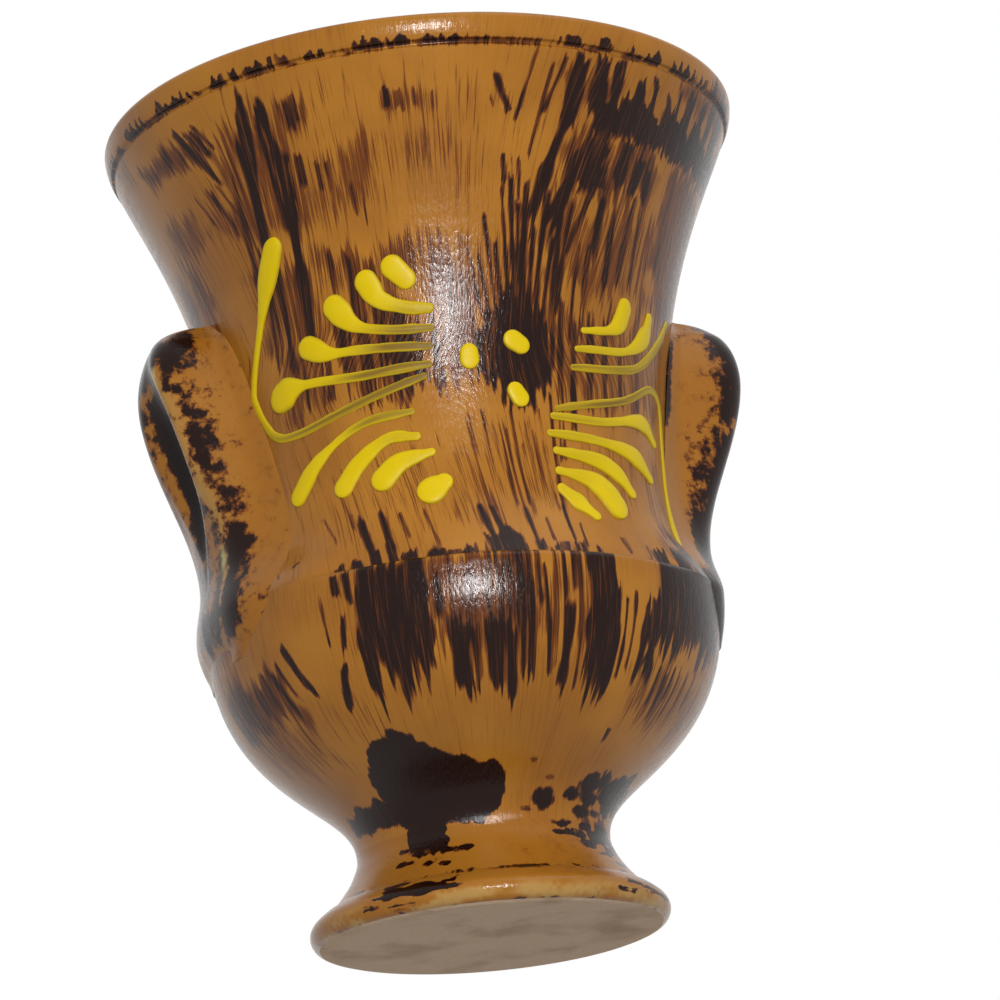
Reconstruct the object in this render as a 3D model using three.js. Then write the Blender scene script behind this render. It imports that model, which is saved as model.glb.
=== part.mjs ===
// A footed pottery vase: thrown foot, bowl and cup, two lug handles and a trailed slip motif.
// Millimetres, +Z up. The origin is the middle of the underside, the handles lie on X and
// the motif faces -Y.
import * as THREE from 'three';

// Heights of the thrown sections and of the lines on them
const FOOT_HEIGHT = 18;
const BOWL_HEIGHT = 46.6;
const CUP_HEIGHT = 105.4;
const FOOT_BEAD_HEIGHT = 7.4;
const WAIST_RISE = 22.4;

// Outside radii
const FOOT_RADIUS = 35.8;
const STEM_RADIUS = 25.3;
const SHOULDER_RADIUS = 51.7;
const WAIST_RADIUS = 44.2;
const RIM_RADIUS = 65;

// Clay thickness, ledges and roundings
const WALL = 5.2;
const STEM_WALL = 6;
const BASE_THICKNESS = 8;
const FLOOR_ROUNDING = 7;
const FOOT_EDGE_ROUNDING = 2.6;
const BEAD_INSET = 4.3;
const FLARE_INSET = 0.4;
const SHOULDER_LEDGE = 2.2;
const SHOULDER_ROUNDING = 1.4;

// Rim band and the turned groove under it
const RIM_BAND_HEIGHT = 5.2;
const RIM_BAND_RELIEF = 1.8;
const RIM_BAND_ROUNDING = 1.1;
const RIM_GROOVE_HEIGHT = 1.2;
const RIM_GROOVE_DEPTH = 0.6;

// How far each curve of the outline keeps the direction of its ends
const BEAD_EDGE_REACH = 2.2;
const BEAD_TOP_REACH = 1.5;
const FLARE_FOOT_REACH = 3;
const FLARE_STEM_REACH = 3;
const BOWL_STEM_REACH = 12.4;
const BOWL_SHOULDER_REACH = 30.4;
const CUP_LEDGE_REACH = 6.5;
const CUP_WAIST_REACH = 10;
const CUP_FLARE_REACH = 42;
const CUP_RIM_REACH = 12;

// Outward lean of the outline at those ends, as run over rise
const BEAD_LEAN = -1.2;
const FLARE_LEAN = -1.1;
const LEDGE_LEAN = -0.4;
const RIM_LEAN = 0.4;

// Handles: heights from the shoulder, projections from the wall behind, widths along the wall
const HANDLE_HEIGHT = 61;
const HANDLE_CROWN_DROP = 10;
const HANDLE_CROWN_PROJECTION = 14.4;
const HANDLE_NECK_RISE = 10;
const HANDLE_NECK_PROJECTION = 5.6;
const HANDLE_ROOT_OVERHANG = 0.7;
const HANDLE_NOSE_REACH = 6;
const HANDLE_BACK_REACH = 14;
const HANDLE_TOP_WIDTH = 19;
const HANDLE_WIDTH = 30;
const HANDLE_ROOT_WIDTH = 36;
const HANDLE_RIDGE_SPACING = 22;
const CHANNEL_DEPTH = 4.5;

// Shares that shape a handle's section
const HANDLE_CROWN_SHARE = 0.33;
const HANDLE_RIDGE_LIMIT = 0.75;
const HANDLE_FLANK_SINK = 0.4;
const CHANNEL_SIDE_SINK = 0.7;
const HANDLE_SEAT_SHARES = [-1, -0.5, 0, 0.5, 1];

// Slip motif: margins of its panel, and the relief of its strokes
const MOTIF_BOTTOM_RISE = 4.4;
const MOTIF_TOP_DROP = 37;
const MOTIF_HANDLE_MARGIN = 2;
const SLIP_RELIEF = 1.1;

// Widths of the strokes and length of the dots, as shares of the motif's half height
const FINE_SHARE = 0.055;
const MEDIUM_SHARE = 0.08;
const BOLD_SHARE = 0.15;
const BROAD_SHARE = 0.19;
const DOT_SHARE = 0.04;

// A stroke's section, as shares of its half width across and of its relief up
const SLIP_SECTION = [[-1, 0], [1, 0], [0.7, 0.7], [0, 1], [-0.7, 0.7]];

// A stroke's rounded end, as shares of the half width past the end and of the width there
const SLIP_ROUND_END = [[0.6, 0.75], [1, 0.3]];

// Share of a stroke over which its head narrows to its tail
const SLIP_TAPER_SHARE = 0.5;

// Clearance of clay pieces luted on to a curved wall
const LUTING_GAP = 0.3;

// How finely curves are divided
const AROUND = 48;
const CURVE_STEPS = 7;
const FLARE_STEPS = 11;
const ARC_STEPS = 4;
const STROKE_STEPS = 8;
const HANDLE_STEPS = 8;

// Values worked out from the sizes above
const SHOULDER_HEIGHT = FOOT_HEIGHT + BOWL_HEIGHT;
const WAIST_HEIGHT = SHOULDER_HEIGHT + WAIST_RISE;
const VASE_HEIGHT = SHOULDER_HEIGHT + CUP_HEIGHT;
const BEAD_TOP_RADIUS = FOOT_RADIUS - BEAD_INSET;
const FLARE_RADIUS = BEAD_TOP_RADIUS - FLARE_INSET;
const STEM_BORE = STEM_RADIUS - STEM_WALL;
const CUP_FOOT_RADIUS = SHOULDER_RADIUS - SHOULDER_LEDGE;
const RING_BORE = CUP_FOOT_RADIUS - WALL;
const BAND_FOOT_HEIGHT = VASE_HEIGHT - RIM_BAND_HEIGHT;
const CUP_TOP_HEIGHT = BAND_FOOT_HEIGHT - RIM_GROOVE_HEIGHT;
const CUP_TOP_RADIUS = RIM_RADIUS - RIM_BAND_RELIEF;
const HANDLE_TOP_HEIGHT = SHOULDER_HEIGHT + HANDLE_HEIGHT;
const HANDLE_ROOT_HEIGHT = SHOULDER_HEIGHT + LUTING_GAP;
const MOTIF_BOTTOM = SHOULDER_HEIGHT + MOTIF_BOTTOM_RISE;
const MOTIF_TOP = VASE_HEIGHT - MOTIF_TOP_DROP;
const MOTIF_MIDDLE = (MOTIF_TOP + MOTIF_BOTTOM) / 2;
const MOTIF_HALF_HEIGHT = (MOTIF_TOP - MOTIF_BOTTOM) / 2;
const MOTIF_HALF_ANGLE = Math.PI / 2 - (HANDLE_WIDTH / 2 + MOTIF_HANDLE_MARGIN) / WAIST_RADIUS;

const OCHRE = new THREE.MeshStandardMaterial({ color: 0xa0692c, roughness: 0.25, metalness: 0 });
const BRUSHED = new THREE.MeshStandardMaterial({ color: 0x7a4c22, roughness: 0.25, metalness: 0 });
const SLIP = new THREE.MeshStandardMaterial({ color: 0xe2cc14, roughness: 0.3, metalness: 0 });

const { lerp, degToRad } = THREE.MathUtils;
const at = (radius, height) => new THREE.Vector2(radius, height);

// A curve of the outline that leaves `start` and reaches `end` with the reaches and leans given
function sweep(start, startReach, startLean, end, endReach, endLean) {
  const leave = at(start.x + startReach * startLean, start.y + startReach);
  const arrive = at(end.x - endReach * endLean, end.y - endReach);
  return new THREE.CubicBezierCurve(start, leave, arrive, end);
}

// Points of a circular arc, in degrees from the outward direction
function arc(centre, radius, fromDegrees, toDegrees) {
  const points = [];
  for (let step = 0; step <= ARC_STEPS; step += 1) {
    const angle = degToRad(lerp(fromDegrees, toDegrees, step / ARC_STEPS));
    points.push(at(centre.x + radius * Math.cos(angle), centre.y + radius * Math.sin(angle)));
  }
  return points;
}

// A turned solid from an outline that runs up the outside and comes back down the inside
function turned(outline) {
  const geometry = new THREE.LatheGeometry(outline, AROUND);
  geometry.rotateX(Math.PI / 2);
  return geometry;
}

// A closed solid from rings of points, with flat ends
function lofted(rings) {
  const count = rings[0].length;
  const positions = rings.flat().flatMap((point) => [point.x, point.y, point.z]);
  const indices = [];
  for (let ring = 0; ring < rings.length - 1; ring += 1) {
    for (let i = 0; i < count; i += 1) {
      const a = ring * count + i;
      const b = ring * count + ((i + 1) % count);
      indices.push(a, b, a + count);
      indices.push(b, b + count, a + count);
    }
  }
  const last = (rings.length - 1) * count;
  for (let i = 1; i < count - 1; i += 1) {
    indices.push(0, i + 1, i);
    indices.push(last, last + i, last + i + 1);
  }
  const geometry = new THREE.BufferGeometry();
  geometry.setAttribute('position', new THREE.Float32BufferAttribute(positions, 3));
  geometry.setIndex(indices);
  return geometry;
}

// The foot: a bead edge, a trumpet flare and a rounded floor inside
function footGeometry() {
  const edge = at(FOOT_RADIUS - FOOT_EDGE_ROUNDING, FOOT_EDGE_ROUNDING);
  const bead = sweep(
    at(FOOT_RADIUS, FOOT_EDGE_ROUNDING), BEAD_EDGE_REACH, 0,
    at(BEAD_TOP_RADIUS, FOOT_BEAD_HEIGHT), BEAD_TOP_REACH, BEAD_LEAN,
  );
  const flare = sweep(
    at(FLARE_RADIUS, FOOT_BEAD_HEIGHT), FLARE_FOOT_REACH, FLARE_LEAN,
    at(STEM_RADIUS, FOOT_HEIGHT), FLARE_STEM_REACH, 0,
  );
  const rounding = Math.min(FLOOR_ROUNDING, FOOT_HEIGHT - BASE_THICKNESS);
  const floor = at(STEM_BORE - rounding, BASE_THICKNESS + rounding);
  return turned([
    at(0, 0),
    ...arc(edge, FOOT_EDGE_ROUNDING, -90, 0),
    ...bead.getPoints(ARC_STEPS).slice(1),
    ...flare.getPoints(CURVE_STEPS),
    at(STEM_BORE, FOOT_HEIGHT),
    ...arc(floor, rounding, 0, -90),
    at(0, BASE_THICKNESS),
  ]);
}

// The bowl: a shell from the stem to the rounded shoulder
function bowlGeometry() {
  const shoulder = at(SHOULDER_RADIUS - SHOULDER_ROUNDING, SHOULDER_HEIGHT - SHOULDER_ROUNDING);
  const outside = sweep(
    at(STEM_RADIUS, FOOT_HEIGHT), BOWL_STEM_REACH, 0,
    at(SHOULDER_RADIUS, shoulder.y), BOWL_SHOULDER_REACH, 0,
  );
  const inside = sweep(
    at(STEM_BORE, FOOT_HEIGHT), BOWL_STEM_REACH, 0,
    at(RING_BORE, SHOULDER_HEIGHT), BOWL_SHOULDER_REACH, 0,
  );
  return turned([
    ...outside.getPoints(FLARE_STEPS),
    ...arc(shoulder, SHOULDER_ROUNDING, 0, 90).slice(1),
    ...inside.getPoints(CURVE_STEPS).reverse(),
    at(STEM_RADIUS, FOOT_HEIGHT),
  ]);
}

// The cup's outside, from the ledge in to the waist and out to the groove under the rim
const cupOutside = [
  ...sweep(
    at(CUP_FOOT_RADIUS, SHOULDER_HEIGHT), CUP_LEDGE_REACH, LEDGE_LEAN,
    at(WAIST_RADIUS, WAIST_HEIGHT), CUP_WAIST_REACH, 0,
  ).getPoints(CURVE_STEPS),
  ...sweep(
    at(WAIST_RADIUS, WAIST_HEIGHT), CUP_FLARE_REACH, 0,
    at(CUP_TOP_RADIUS, CUP_TOP_HEIGHT), CUP_RIM_REACH, RIM_LEAN,
  ).getPoints(FLARE_STEPS).slice(1),
];

// Radius of the cup's outside at a height
function cupRadius(height) {
  const above = cupOutside.findIndex((point) => point.y >= height);
  const index = above < 0 ? cupOutside.length - 1 : Math.max(above, 1);
  const low = cupOutside[index - 1];
  const high = cupOutside[index];
  return lerp(low.x, high.x, (height - low.y) / (high.y - low.y));
}

// The cup: a wall of even thickness with a groove and a rounded band at the rim
function cupGeometry() {
  const lip = at(RIM_RADIUS - WALL / 2, VASE_HEIGHT - WALL / 2);
  return turned([
    ...cupOutside,
    at(CUP_TOP_RADIUS - RIM_GROOVE_DEPTH, CUP_TOP_HEIGHT + RIM_GROOVE_HEIGHT / 2),
    at(RIM_RADIUS - RIM_BAND_ROUNDING, BAND_FOOT_HEIGHT),
    ...arc(lip, WALL / 2, 0, 180),
    ...cupOutside.map((point) => at(point.x - WALL, point.y)).reverse(),
    at(CUP_FOOT_RADIUS, SHOULDER_HEIGHT),
  ]);
}

// The back of a handle, from its top at the wall over the crown and down to its root on the ledge
function handleBack() {
  const crownHeight = HANDLE_TOP_HEIGHT - HANDLE_CROWN_DROP;
  const neckHeight = SHOULDER_HEIGHT + HANDLE_NECK_RISE;
  const top = at(cupRadius(HANDLE_TOP_HEIGHT) + LUTING_GAP, HANDLE_TOP_HEIGHT);
  const crown = at(cupRadius(crownHeight) + HANDLE_CROWN_PROJECTION, crownHeight);
  const neck = at(cupRadius(neckHeight) + HANDLE_NECK_PROJECTION, neckHeight);
  const root = at(SHOULDER_RADIUS + HANDLE_ROOT_OVERHANG, HANDLE_ROOT_HEIGHT);
  const nose = new THREE.CubicBezierCurve(
    top,
    at(top.x + HANDLE_NOSE_REACH, top.y),
    at(crown.x, crown.y + HANDLE_NOSE_REACH),
    crown,
  );
  const spine = new THREE.CubicBezierCurve(
    crown,
    at(crown.x, crown.y - HANDLE_BACK_REACH),
    at(neck.x, neck.y + HANDLE_BACK_REACH),
    neck,
  );
  return [
    ...nose.getPoints(HANDLE_STEPS).slice(1),
    ...spine.getPoints(HANDLE_STEPS).slice(1),
    root,
  ];
}

// One section of a handle on +X: its seat along the wall, then its flanks, ridges and channel
function handleSection(outer, down) {
  const height = lerp(HANDLE_TOP_HEIGHT, HANDLE_ROOT_HEIGHT, down);
  const radius = cupRadius(height) + LUTING_GAP;
  const swell = Math.sin((Math.min(down / HANDLE_CROWN_SHARE, 1) * Math.PI) / 2);
  const half = lerp(HANDLE_TOP_WIDTH, lerp(HANDLE_WIDTH, HANDLE_ROOT_WIDTH, down), swell) / 2;
  const ridge = Math.min(HANDLE_RIDGE_SPACING / 2, half * HANDLE_RIDGE_LIMIT);
  const flank = (ridge + half) / 2;
  const flankSink = (outer.x - radius) * HANDLE_FLANK_SINK;
  const depth = CHANNEL_DEPTH * Math.sin(down * Math.PI) ** 2;
  const seat = (across) => {
    const angle = across / radius;
    return new THREE.Vector3(radius * Math.cos(angle), radius * Math.sin(angle), height);
  };
  const back = (across, sink) => {
    const clear = seat(across).x + LUTING_GAP;
    return new THREE.Vector3(Math.max(outer.x - sink, clear), across, outer.y);
  };
  return [
    ...HANDLE_SEAT_SHARES.map((share) => seat(share * half)),
    back(flank, flankSink),
    back(ridge, 0),
    back(ridge / 2, depth * CHANNEL_SIDE_SINK),
    back(0, depth),
    back(-ridge / 2, depth * CHANNEL_SIDE_SINK),
    back(-ridge, 0),
    back(-flank, flankSink),
  ];
}

function handleGeometry() {
  const back = handleBack();
  return lofted(back.map((outer, step) => handleSection(outer, step / (back.length - 1))));
}

// Strokes of the motif from head to tail, as percent of the motif's half angle and half height
const stroke = (name, head, tail, path) => ({ name, head, tail, path });
const STROKES = [
  stroke('hook_left', BOLD_SHARE, FINE_SHARE,
    [[-76, 99], [-88, 64], [-100, 25], [-91, -12], [-59, -8], [-29, 2]]),
  stroke('frond_upper_left_1', BOLD_SHARE, MEDIUM_SHARE, [[-34, 75], [-29, 60]]),
  stroke('frond_upper_left_2', BOLD_SHARE, FINE_SHARE, [[-43, 66], [-39, 54], [-24, 46]]),
  stroke('frond_upper_left_3', BOLD_SHARE, FINE_SHARE, [[-55, 54], [-49, 41], [-24, 34]]),
  stroke('frond_upper_left_4', BOLD_SHARE, FINE_SHARE, [[-69, 34], [-47, 27], [-24, 22]]),
  stroke('frond_upper_left_5', BROAD_SHARE, FINE_SHARE, [[-85, 14], [-68, 14], [-27, 11]]),
  stroke('frond_lower_left_1', BOLD_SHARE, FINE_SHARE, [[-82, -53], [-72, -35], [-53, -19], [-34, -17]]),
  stroke('frond_lower_left_2', BOLD_SHARE, FINE_SHARE, [[-61, -58], [-55, -43], [-43, -31], [-32, -32]]),
  stroke('frond_lower_left_3', BROAD_SHARE, MEDIUM_SHARE, [[-46, -56], [-39, -47], [-27, -44]]),
  stroke('dot_lower_left', BROAD_SHARE, BROAD_SHARE, [[-26, -66]]),
  stroke('dot_centre_left', BOLD_SHARE, BOLD_SHARE, [[-10, 15]]),
  stroke('dot_centre_upper', BROAD_SHARE, BROAD_SHARE, [[8, 23]]),
  stroke('dot_centre_lower', BROAD_SHARE, BOLD_SHARE, [[7, -9]]),
  stroke('frond_upper_right_1', BOLD_SHARE, MEDIUM_SHARE, [[56, 59], [55, 43], [38, 33]]),
  stroke('frond_upper_right_2', BOLD_SHARE, FINE_SHARE, [[74, 57], [72, 43], [55, 26], [33, 21]]),
  stroke('frond_upper_right_3', MEDIUM_SHARE, FINE_SHARE, [[93, 66], [88, 50], [66, 20], [31, 8]]),
  stroke('scroll_right', MEDIUM_SHARE, FINE_SHARE,
    [[84, -89], [89, -56], [90, -20], [89, 6], [77, 10], [56, -4], [26, -13]]),
  stroke('frond_lower_right_1', BOLD_SHARE, FINE_SHARE, [[79, -27], [68, -16], [43, -22], [21, -22]]),
  stroke('frond_lower_right_2', BOLD_SHARE, FINE_SHARE, [[72, -53], [61, -39], [43, -35], [19, -33]]),
  stroke('frond_lower_right_3', BOLD_SHARE, FINE_SHARE, [[57, -70], [51, -56], [40, -48], [21, -44]]),
  stroke('frond_lower_right_4', BOLD_SHARE, MEDIUM_SHARE, [[46, -82], [41, -68], [34, -61], [21, -57]]),
  stroke('frond_lower_right_5', BROAD_SHARE, MEDIUM_SHARE, [[35, -91], [28, -80], [21, -69]]),
];

const ofHalfHeight = (share) => MOTIF_HALF_HEIGHT * share;

// A point of the cup's outside, in millimetres along the wall and up, lifted along the normal
function onCup(across, height, lift) {
  const radius = cupRadius(height);
  const rise = cupRadius(height + SLIP_RELIEF) - cupRadius(height - SLIP_RELIEF);
  const lean = rise / (2 * SLIP_RELIEF);
  const normal = lift / Math.hypot(1, lean);
  const angle = across / radius;
  return new THREE.Vector3(
    (radius + normal) * Math.sin(angle),
    -(radius + normal) * Math.cos(angle),
    height - normal * lean,
  );
}

// The middle line of a stroke, in millimetres along the wall and up
function strokeLine(path) {
  const points = path.map(([acrossPercent, upPercent]) => {
    const height = MOTIF_MIDDLE + ofHalfHeight(upPercent / 100);
    return at(((MOTIF_HALF_ANGLE * acrossPercent) / 100) * cupRadius(height), height);
  });
  if (points.length > 1) {
    return new THREE.SplineCurve(points);
  }
  const half = at(ofHalfHeight(DOT_SHARE) / 2, 0);
  return new THREE.LineCurve(points[0].clone().sub(half), points[0].clone().add(half));
}

// One stroke of slip: a low rounded bead on the wall, wide at its head and drawn out to its tail
function strokeGeometry({ head, tail, path }) {
  const line = strokeLine(path);
  const section = (t, endShare, widthShare) => {
    const share = lerp(head, tail, Math.min(t / SLIP_TAPER_SHARE, 1));
    const half = ofHalfHeight(share) / 2;
    const relief = SLIP_RELIEF * Math.sqrt((share * widthShare) / BROAD_SHARE);
    const ahead = line.getTangentAt(t);
    const middle = line.getPointAt(t).addScaledVector(ahead, half * endShare);
    return SLIP_SECTION.map(([side, up]) => {
      const aside = side * half * widthShare;
      return onCup(middle.x - ahead.y * aside, middle.y + ahead.x * aside, LUTING_GAP + relief * up);
    });
  };
  const headEnd = SLIP_ROUND_END.map(([past, width]) => section(0, -past, width)).reverse();
  const tailEnd = SLIP_ROUND_END.map(([past, width]) => section(1, past, width));
  const body = [];
  for (let step = 0; step <= STROKE_STEPS; step += 1) {
    body.push(section(step / STROKE_STEPS, 0, 1));
  }
  return lofted([...headEnd, ...body, ...tailEnd]);
}

function piece(name, geometry, material) {
  const mesh = new THREE.Mesh(geometry, material);
  mesh.name = name;
  return mesh;
}

const vase = new THREE.Group();
vase.add(piece('foot', footGeometry(), OCHRE));
vase.add(piece('bowl', bowlGeometry(), BRUSHED));
vase.add(piece('cup', cupGeometry(), BRUSHED));

const handleRight = piece('handle_right', handleGeometry(), OCHRE);
const handleLeft = piece('handle_left', handleGeometry(), OCHRE);
handleLeft.rotation.z = Math.PI;
vase.add(handleRight, handleLeft);

for (const slip of STROKES) {
  vase.add(piece(`slip_${slip.name}`, strokeGeometry(slip), SLIP));
}

export default vase;
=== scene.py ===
import math

import bpy
import numpy as np
from mathutils import Matrix, Vector


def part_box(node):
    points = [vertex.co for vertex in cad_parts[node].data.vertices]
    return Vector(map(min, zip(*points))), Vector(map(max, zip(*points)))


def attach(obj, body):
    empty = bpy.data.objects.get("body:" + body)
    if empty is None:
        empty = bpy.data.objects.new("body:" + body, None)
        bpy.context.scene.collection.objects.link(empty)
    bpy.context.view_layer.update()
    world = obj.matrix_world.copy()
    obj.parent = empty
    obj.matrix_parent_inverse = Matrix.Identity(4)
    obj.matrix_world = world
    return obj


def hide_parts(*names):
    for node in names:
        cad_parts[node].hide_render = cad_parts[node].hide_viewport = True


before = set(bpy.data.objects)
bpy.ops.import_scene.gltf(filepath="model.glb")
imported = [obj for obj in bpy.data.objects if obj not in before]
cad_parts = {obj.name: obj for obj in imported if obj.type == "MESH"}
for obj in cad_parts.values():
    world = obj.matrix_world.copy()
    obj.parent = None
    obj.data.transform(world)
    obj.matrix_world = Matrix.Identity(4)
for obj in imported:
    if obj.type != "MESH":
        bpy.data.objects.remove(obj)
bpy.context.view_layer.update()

# A footed pottery vase in brushed ochre glaze with a trailed slip motif.
# Lengths are millimetres and angles are degrees round the axis, 0 at -Y and 90 at +X,
# until a mesh is made in metres. Camera, floor and lamps are in metres.
MM = 0.001
SEED = 7

# Sizes of the thrown sections, from the frame
FOOT_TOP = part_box("foot")[1] / MM
BOWL_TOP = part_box("bowl")[1] / MM
CUP_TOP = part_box("cup")[1] / MM
FOOT_RADIUS = FOOT_TOP.x
FOOT_HEIGHT = FOOT_TOP.z
SHOULDER_RADIUS = BOWL_TOP.x
SHOULDER_HEIGHT = BOWL_TOP.z
RIM_RADIUS = CUP_TOP.x
VASE_HEIGHT = CUP_TOP.z

# Clay thickness, stem, waist, ledges and roundings
WALL = 5.2
STEM_RADIUS = 25.3
STEM_BORE = 19.3
BASE_THICKNESS = 8
FLOOR_ROUNDING = 7
BEAD_HEIGHT = 7.4
LIP_ROUNDING = 1.3
SHOULDER_LEDGE = 2.2
SHOULDER_ROUNDING = 1.4
WAIST_RADIUS = 44.2
WAIST_HEIGHT = 87
RIM_BAND_HEIGHT = 5.2
RIM_BAND_RELIEF = 1.8
RIM_BAND_ROUNDING = 1.1
RIM_GROOVE_HEIGHT = 1.2
RIM_GROOVE_DEPTH = 0.35

# How far the outlines keep their direction, and how they lean, where two curves meet
STEM_REACH = 12.4
SHOULDER_REACH = 30.4
LEDGE_REACH = 6.5
LEDGE_LEAN = -0.4
WAIST_REACH_BELOW = 10
WAIST_REACH_ABOVE = 42
RIM_REACH = 12
RIM_LEAN = 0.4

# Fineness of the meshes, with closer columns on the side that carries the motif, the radius of the
# first ring round the axis, and the angle from which an edge is sharp
FRONT_START = -84
FRONT_END = 78
FRONT_COLUMN = 0.3
BACK_COLUMN = 0.5
ROW = 0.6
INSIDE_ROW = 2.4
BASE_ROW = 1.5
AXIS_GAP = 0.4
SHARP_ANGLE = 50
SPAN_SAMPLES = 60
SWEEP_SAMPLES = 200
ARC_SAMPLES = 40
OUTLINE_STEP = 0.2

# Hand-thrown unevenness of the walls, and the clay that fills the ledge beside the handles: its top,
# and the sines of the angles between which it comes in
WOBBLE = 0.12
THROWING_RELIEF = 0.012
THROWING_PITCH = 3.1
FILL_TOP = 76
FILL_START = 0.6
FILL_END = 0.8

# Seeded draws, and the number of cells after which noise repeats
rng = np.random.default_rng(SEED)
LATTICE = 64


def smooth(low, high, value):
    """0 below low, 1 above high, and a smooth step between them"""
    t = np.clip((value - low) / (high - low), 0, 1)
    return t * t * (3 - 2 * t)


def span(value, rise, full, ease, fall):
    """1 from full to ease, and 0 below rise and above fall"""
    return smooth(rise, full, value) * smooth(fall, ease, value)


def hump(value, middle, breadth):
    """1 in the middle, fading over the breadth on both sides"""
    return np.exp(-((value - middle) / breadth) ** 2)


def noise(x, y, seed):
    """Smooth value noise on a lattice of unit cells, from 0 to 1"""
    lattice = np.random.default_rng(seed).random((LATTICE, LATTICE))
    x0 = np.floor(x).astype(int)
    y0 = np.floor(y).astype(int)
    u = smooth(0, 1, x - x0)
    v = smooth(0, 1, y - y0)
    a, b, c, d = (lattice[(x0 + i) % LATTICE, (y0 + j) % LATTICE] for j in (0, 1) for i in (0, 1))
    return (a * (1 - u) + b * u) * (1 - v) + (c * (1 - u) + d * u) * v


def ripple(x, seed):
    """Smooth noise along a line, from 0 to 1"""
    return noise(x, 0 * x, seed)


def lengths(points):
    """Length of a polyline up to each of its points, by their first two columns"""
    return np.r_[0, np.cumsum(np.hypot(*np.diff(points[:, :2], axis=0).T))]


def resampled(points, count):
    """The same polyline with evenly spaced points"""
    length = lengths(points)
    at = np.linspace(0, length[-1], count)
    return np.stack([np.interp(at, length, column) for column in points.T], -1)


def spaced(points, step):
    """Points along a polyline, about a step apart"""
    points = np.array(points, float)
    return resampled(points, max(2, round(lengths(points)[-1] / step) + 1))


def bezier(a, b, c, d, count):
    """A cubic curve from a to d that leaves for b and arrives from c"""
    t = np.linspace(0, 1, count)[:, None]
    a, b, c, d = (np.array(point, float) for point in (a, b, c, d))
    return a * (1 - t) ** 3 + 3 * b * t * (1 - t) ** 2 + 3 * c * t ** 2 * (1 - t) + d * t ** 3


def through(points, step):
    """A smooth path through points, sampled about a step apart"""
    points = np.array(points, float)
    ends = np.vstack([2 * points[0] - points[1], points, 2 * points[-1] - points[-2]])
    spans = [
        bezier(b, b + (c - a) / 6, c - (d - b) / 6, c, SPAN_SAMPLES)
        for a, b, c, d in zip(ends, ends[1:], ends[2:], ends[3:])]
    return spaced(np.vstack(spans), step)


def sweep(start, start_reach, start_lean, end, end_reach, end_lean):
    """A curve of the outline that keeps the direction of its ends for the reaches given"""
    leave = (start[0] + start_reach * start_lean, start[1] + start_reach)
    arrive = (end[0] - end_reach * end_lean, end[1] - end_reach)
    return bezier(start, leave, arrive, end, SWEEP_SAMPLES)


def arc(centre, radius, start, end):
    """A circular arc of the outline, in degrees up from the outward direction"""
    turn = np.radians(np.linspace(start, end, ARC_SAMPLES))
    return np.c_[centre[0] + radius * np.cos(turn), centre[1] + radius * np.sin(turn)]


# Outlines of the outside, upwards
CUP_FOOT_RADIUS = SHOULDER_RADIUS - SHOULDER_LEDGE
CUP_TOP_RADIUS = RIM_RADIUS - RIM_BAND_RELIEF
BAND_FOOT = VASE_HEIGHT - RIM_BAND_HEIGHT
GROOVE_FOOT = BAND_FOOT - RIM_GROOVE_HEIGHT
SHOULDER_CENTRE = (SHOULDER_RADIUS - SHOULDER_ROUNDING, SHOULDER_HEIGHT - SHOULDER_ROUNDING)
LIP_CENTRE = (RIM_RADIUS - LIP_ROUNDING, VASE_HEIGHT - LIP_ROUNDING)
LIP_INNER_CENTRE = (RIM_RADIUS - WALL + LIP_ROUNDING, VASE_HEIGHT - LIP_ROUNDING)

# The foot's edge and its trumpet, as insets from the foot's radius and outsets from the stem
BEAD = through(
    [(FOOT_RADIUS - inset, height) for inset, height in (
        (2.9, 0), (0.95, 0.8), (0.05, 2.6), (0.6, 4.5), (2.5, 6.2), (4.1, BEAD_HEIGHT - 0.2))],
    OUTLINE_STEP)
FLARE = through(
    [(STEM_RADIUS + outset, height) for outset, height in (
        (5.9, BEAD_HEIGHT), (5.5, 7.8), (3.9, 9.6), (1.9, 12.4), (0.45, 15.4), (0.03, FOOT_HEIGHT - 1),
        (0, FOOT_HEIGHT))],
    OUTLINE_STEP)
BOWL = sweep(
    (STEM_RADIUS, FOOT_HEIGHT), STEM_REACH, 0, (SHOULDER_RADIUS, SHOULDER_CENTRE[1]), SHOULDER_REACH, 0)
SHOULDER = arc(SHOULDER_CENTRE, SHOULDER_ROUNDING, 0, 90)
CUP = np.vstack([
    sweep(
        (CUP_FOOT_RADIUS, SHOULDER_HEIGHT), LEDGE_REACH, LEDGE_LEAN,
        (WAIST_RADIUS, WAIST_HEIGHT), WAIST_REACH_BELOW, 0),
    sweep(
        (WAIST_RADIUS, WAIST_HEIGHT), WAIST_REACH_ABOVE, 0,
        (CUP_TOP_RADIUS, GROOVE_FOOT), RIM_REACH, RIM_LEAN)[1:],
])
# The groove, in shares of its depth and height, and the band over it, in shares of its rounding
# and in rises from its foot
GROOVE = np.array(
    [(CUP_TOP_RADIUS - RIM_GROOVE_DEPTH * deep, GROOVE_FOOT + RIM_GROOVE_HEIGHT * up)
     for deep, up in ((0, 0), (0.7, 0.2), (1, 0.5), (0, 0.85))]
    + [(RIM_RADIUS - RIM_BAND_ROUNDING * inset, BAND_FOOT + rise)
       for inset, rise in ((1, 0), (0.62, 0.8), (0.32, 1.8), (0.12, 2.8))]
    + [(RIM_RADIUS, LIP_CENTRE[1] - 0.1)])
LIP = np.vstack([arc(LIP_CENTRE, LIP_ROUNDING, 0, 90), arc(LIP_INNER_CENTRE, LIP_ROUNDING, 90, 180)])
# All of it, as far as the lip still rises
OUTSIDE = np.vstack([BEAD, FLARE, BOWL, CUP, GROOVE, LIP[:30]])


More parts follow.
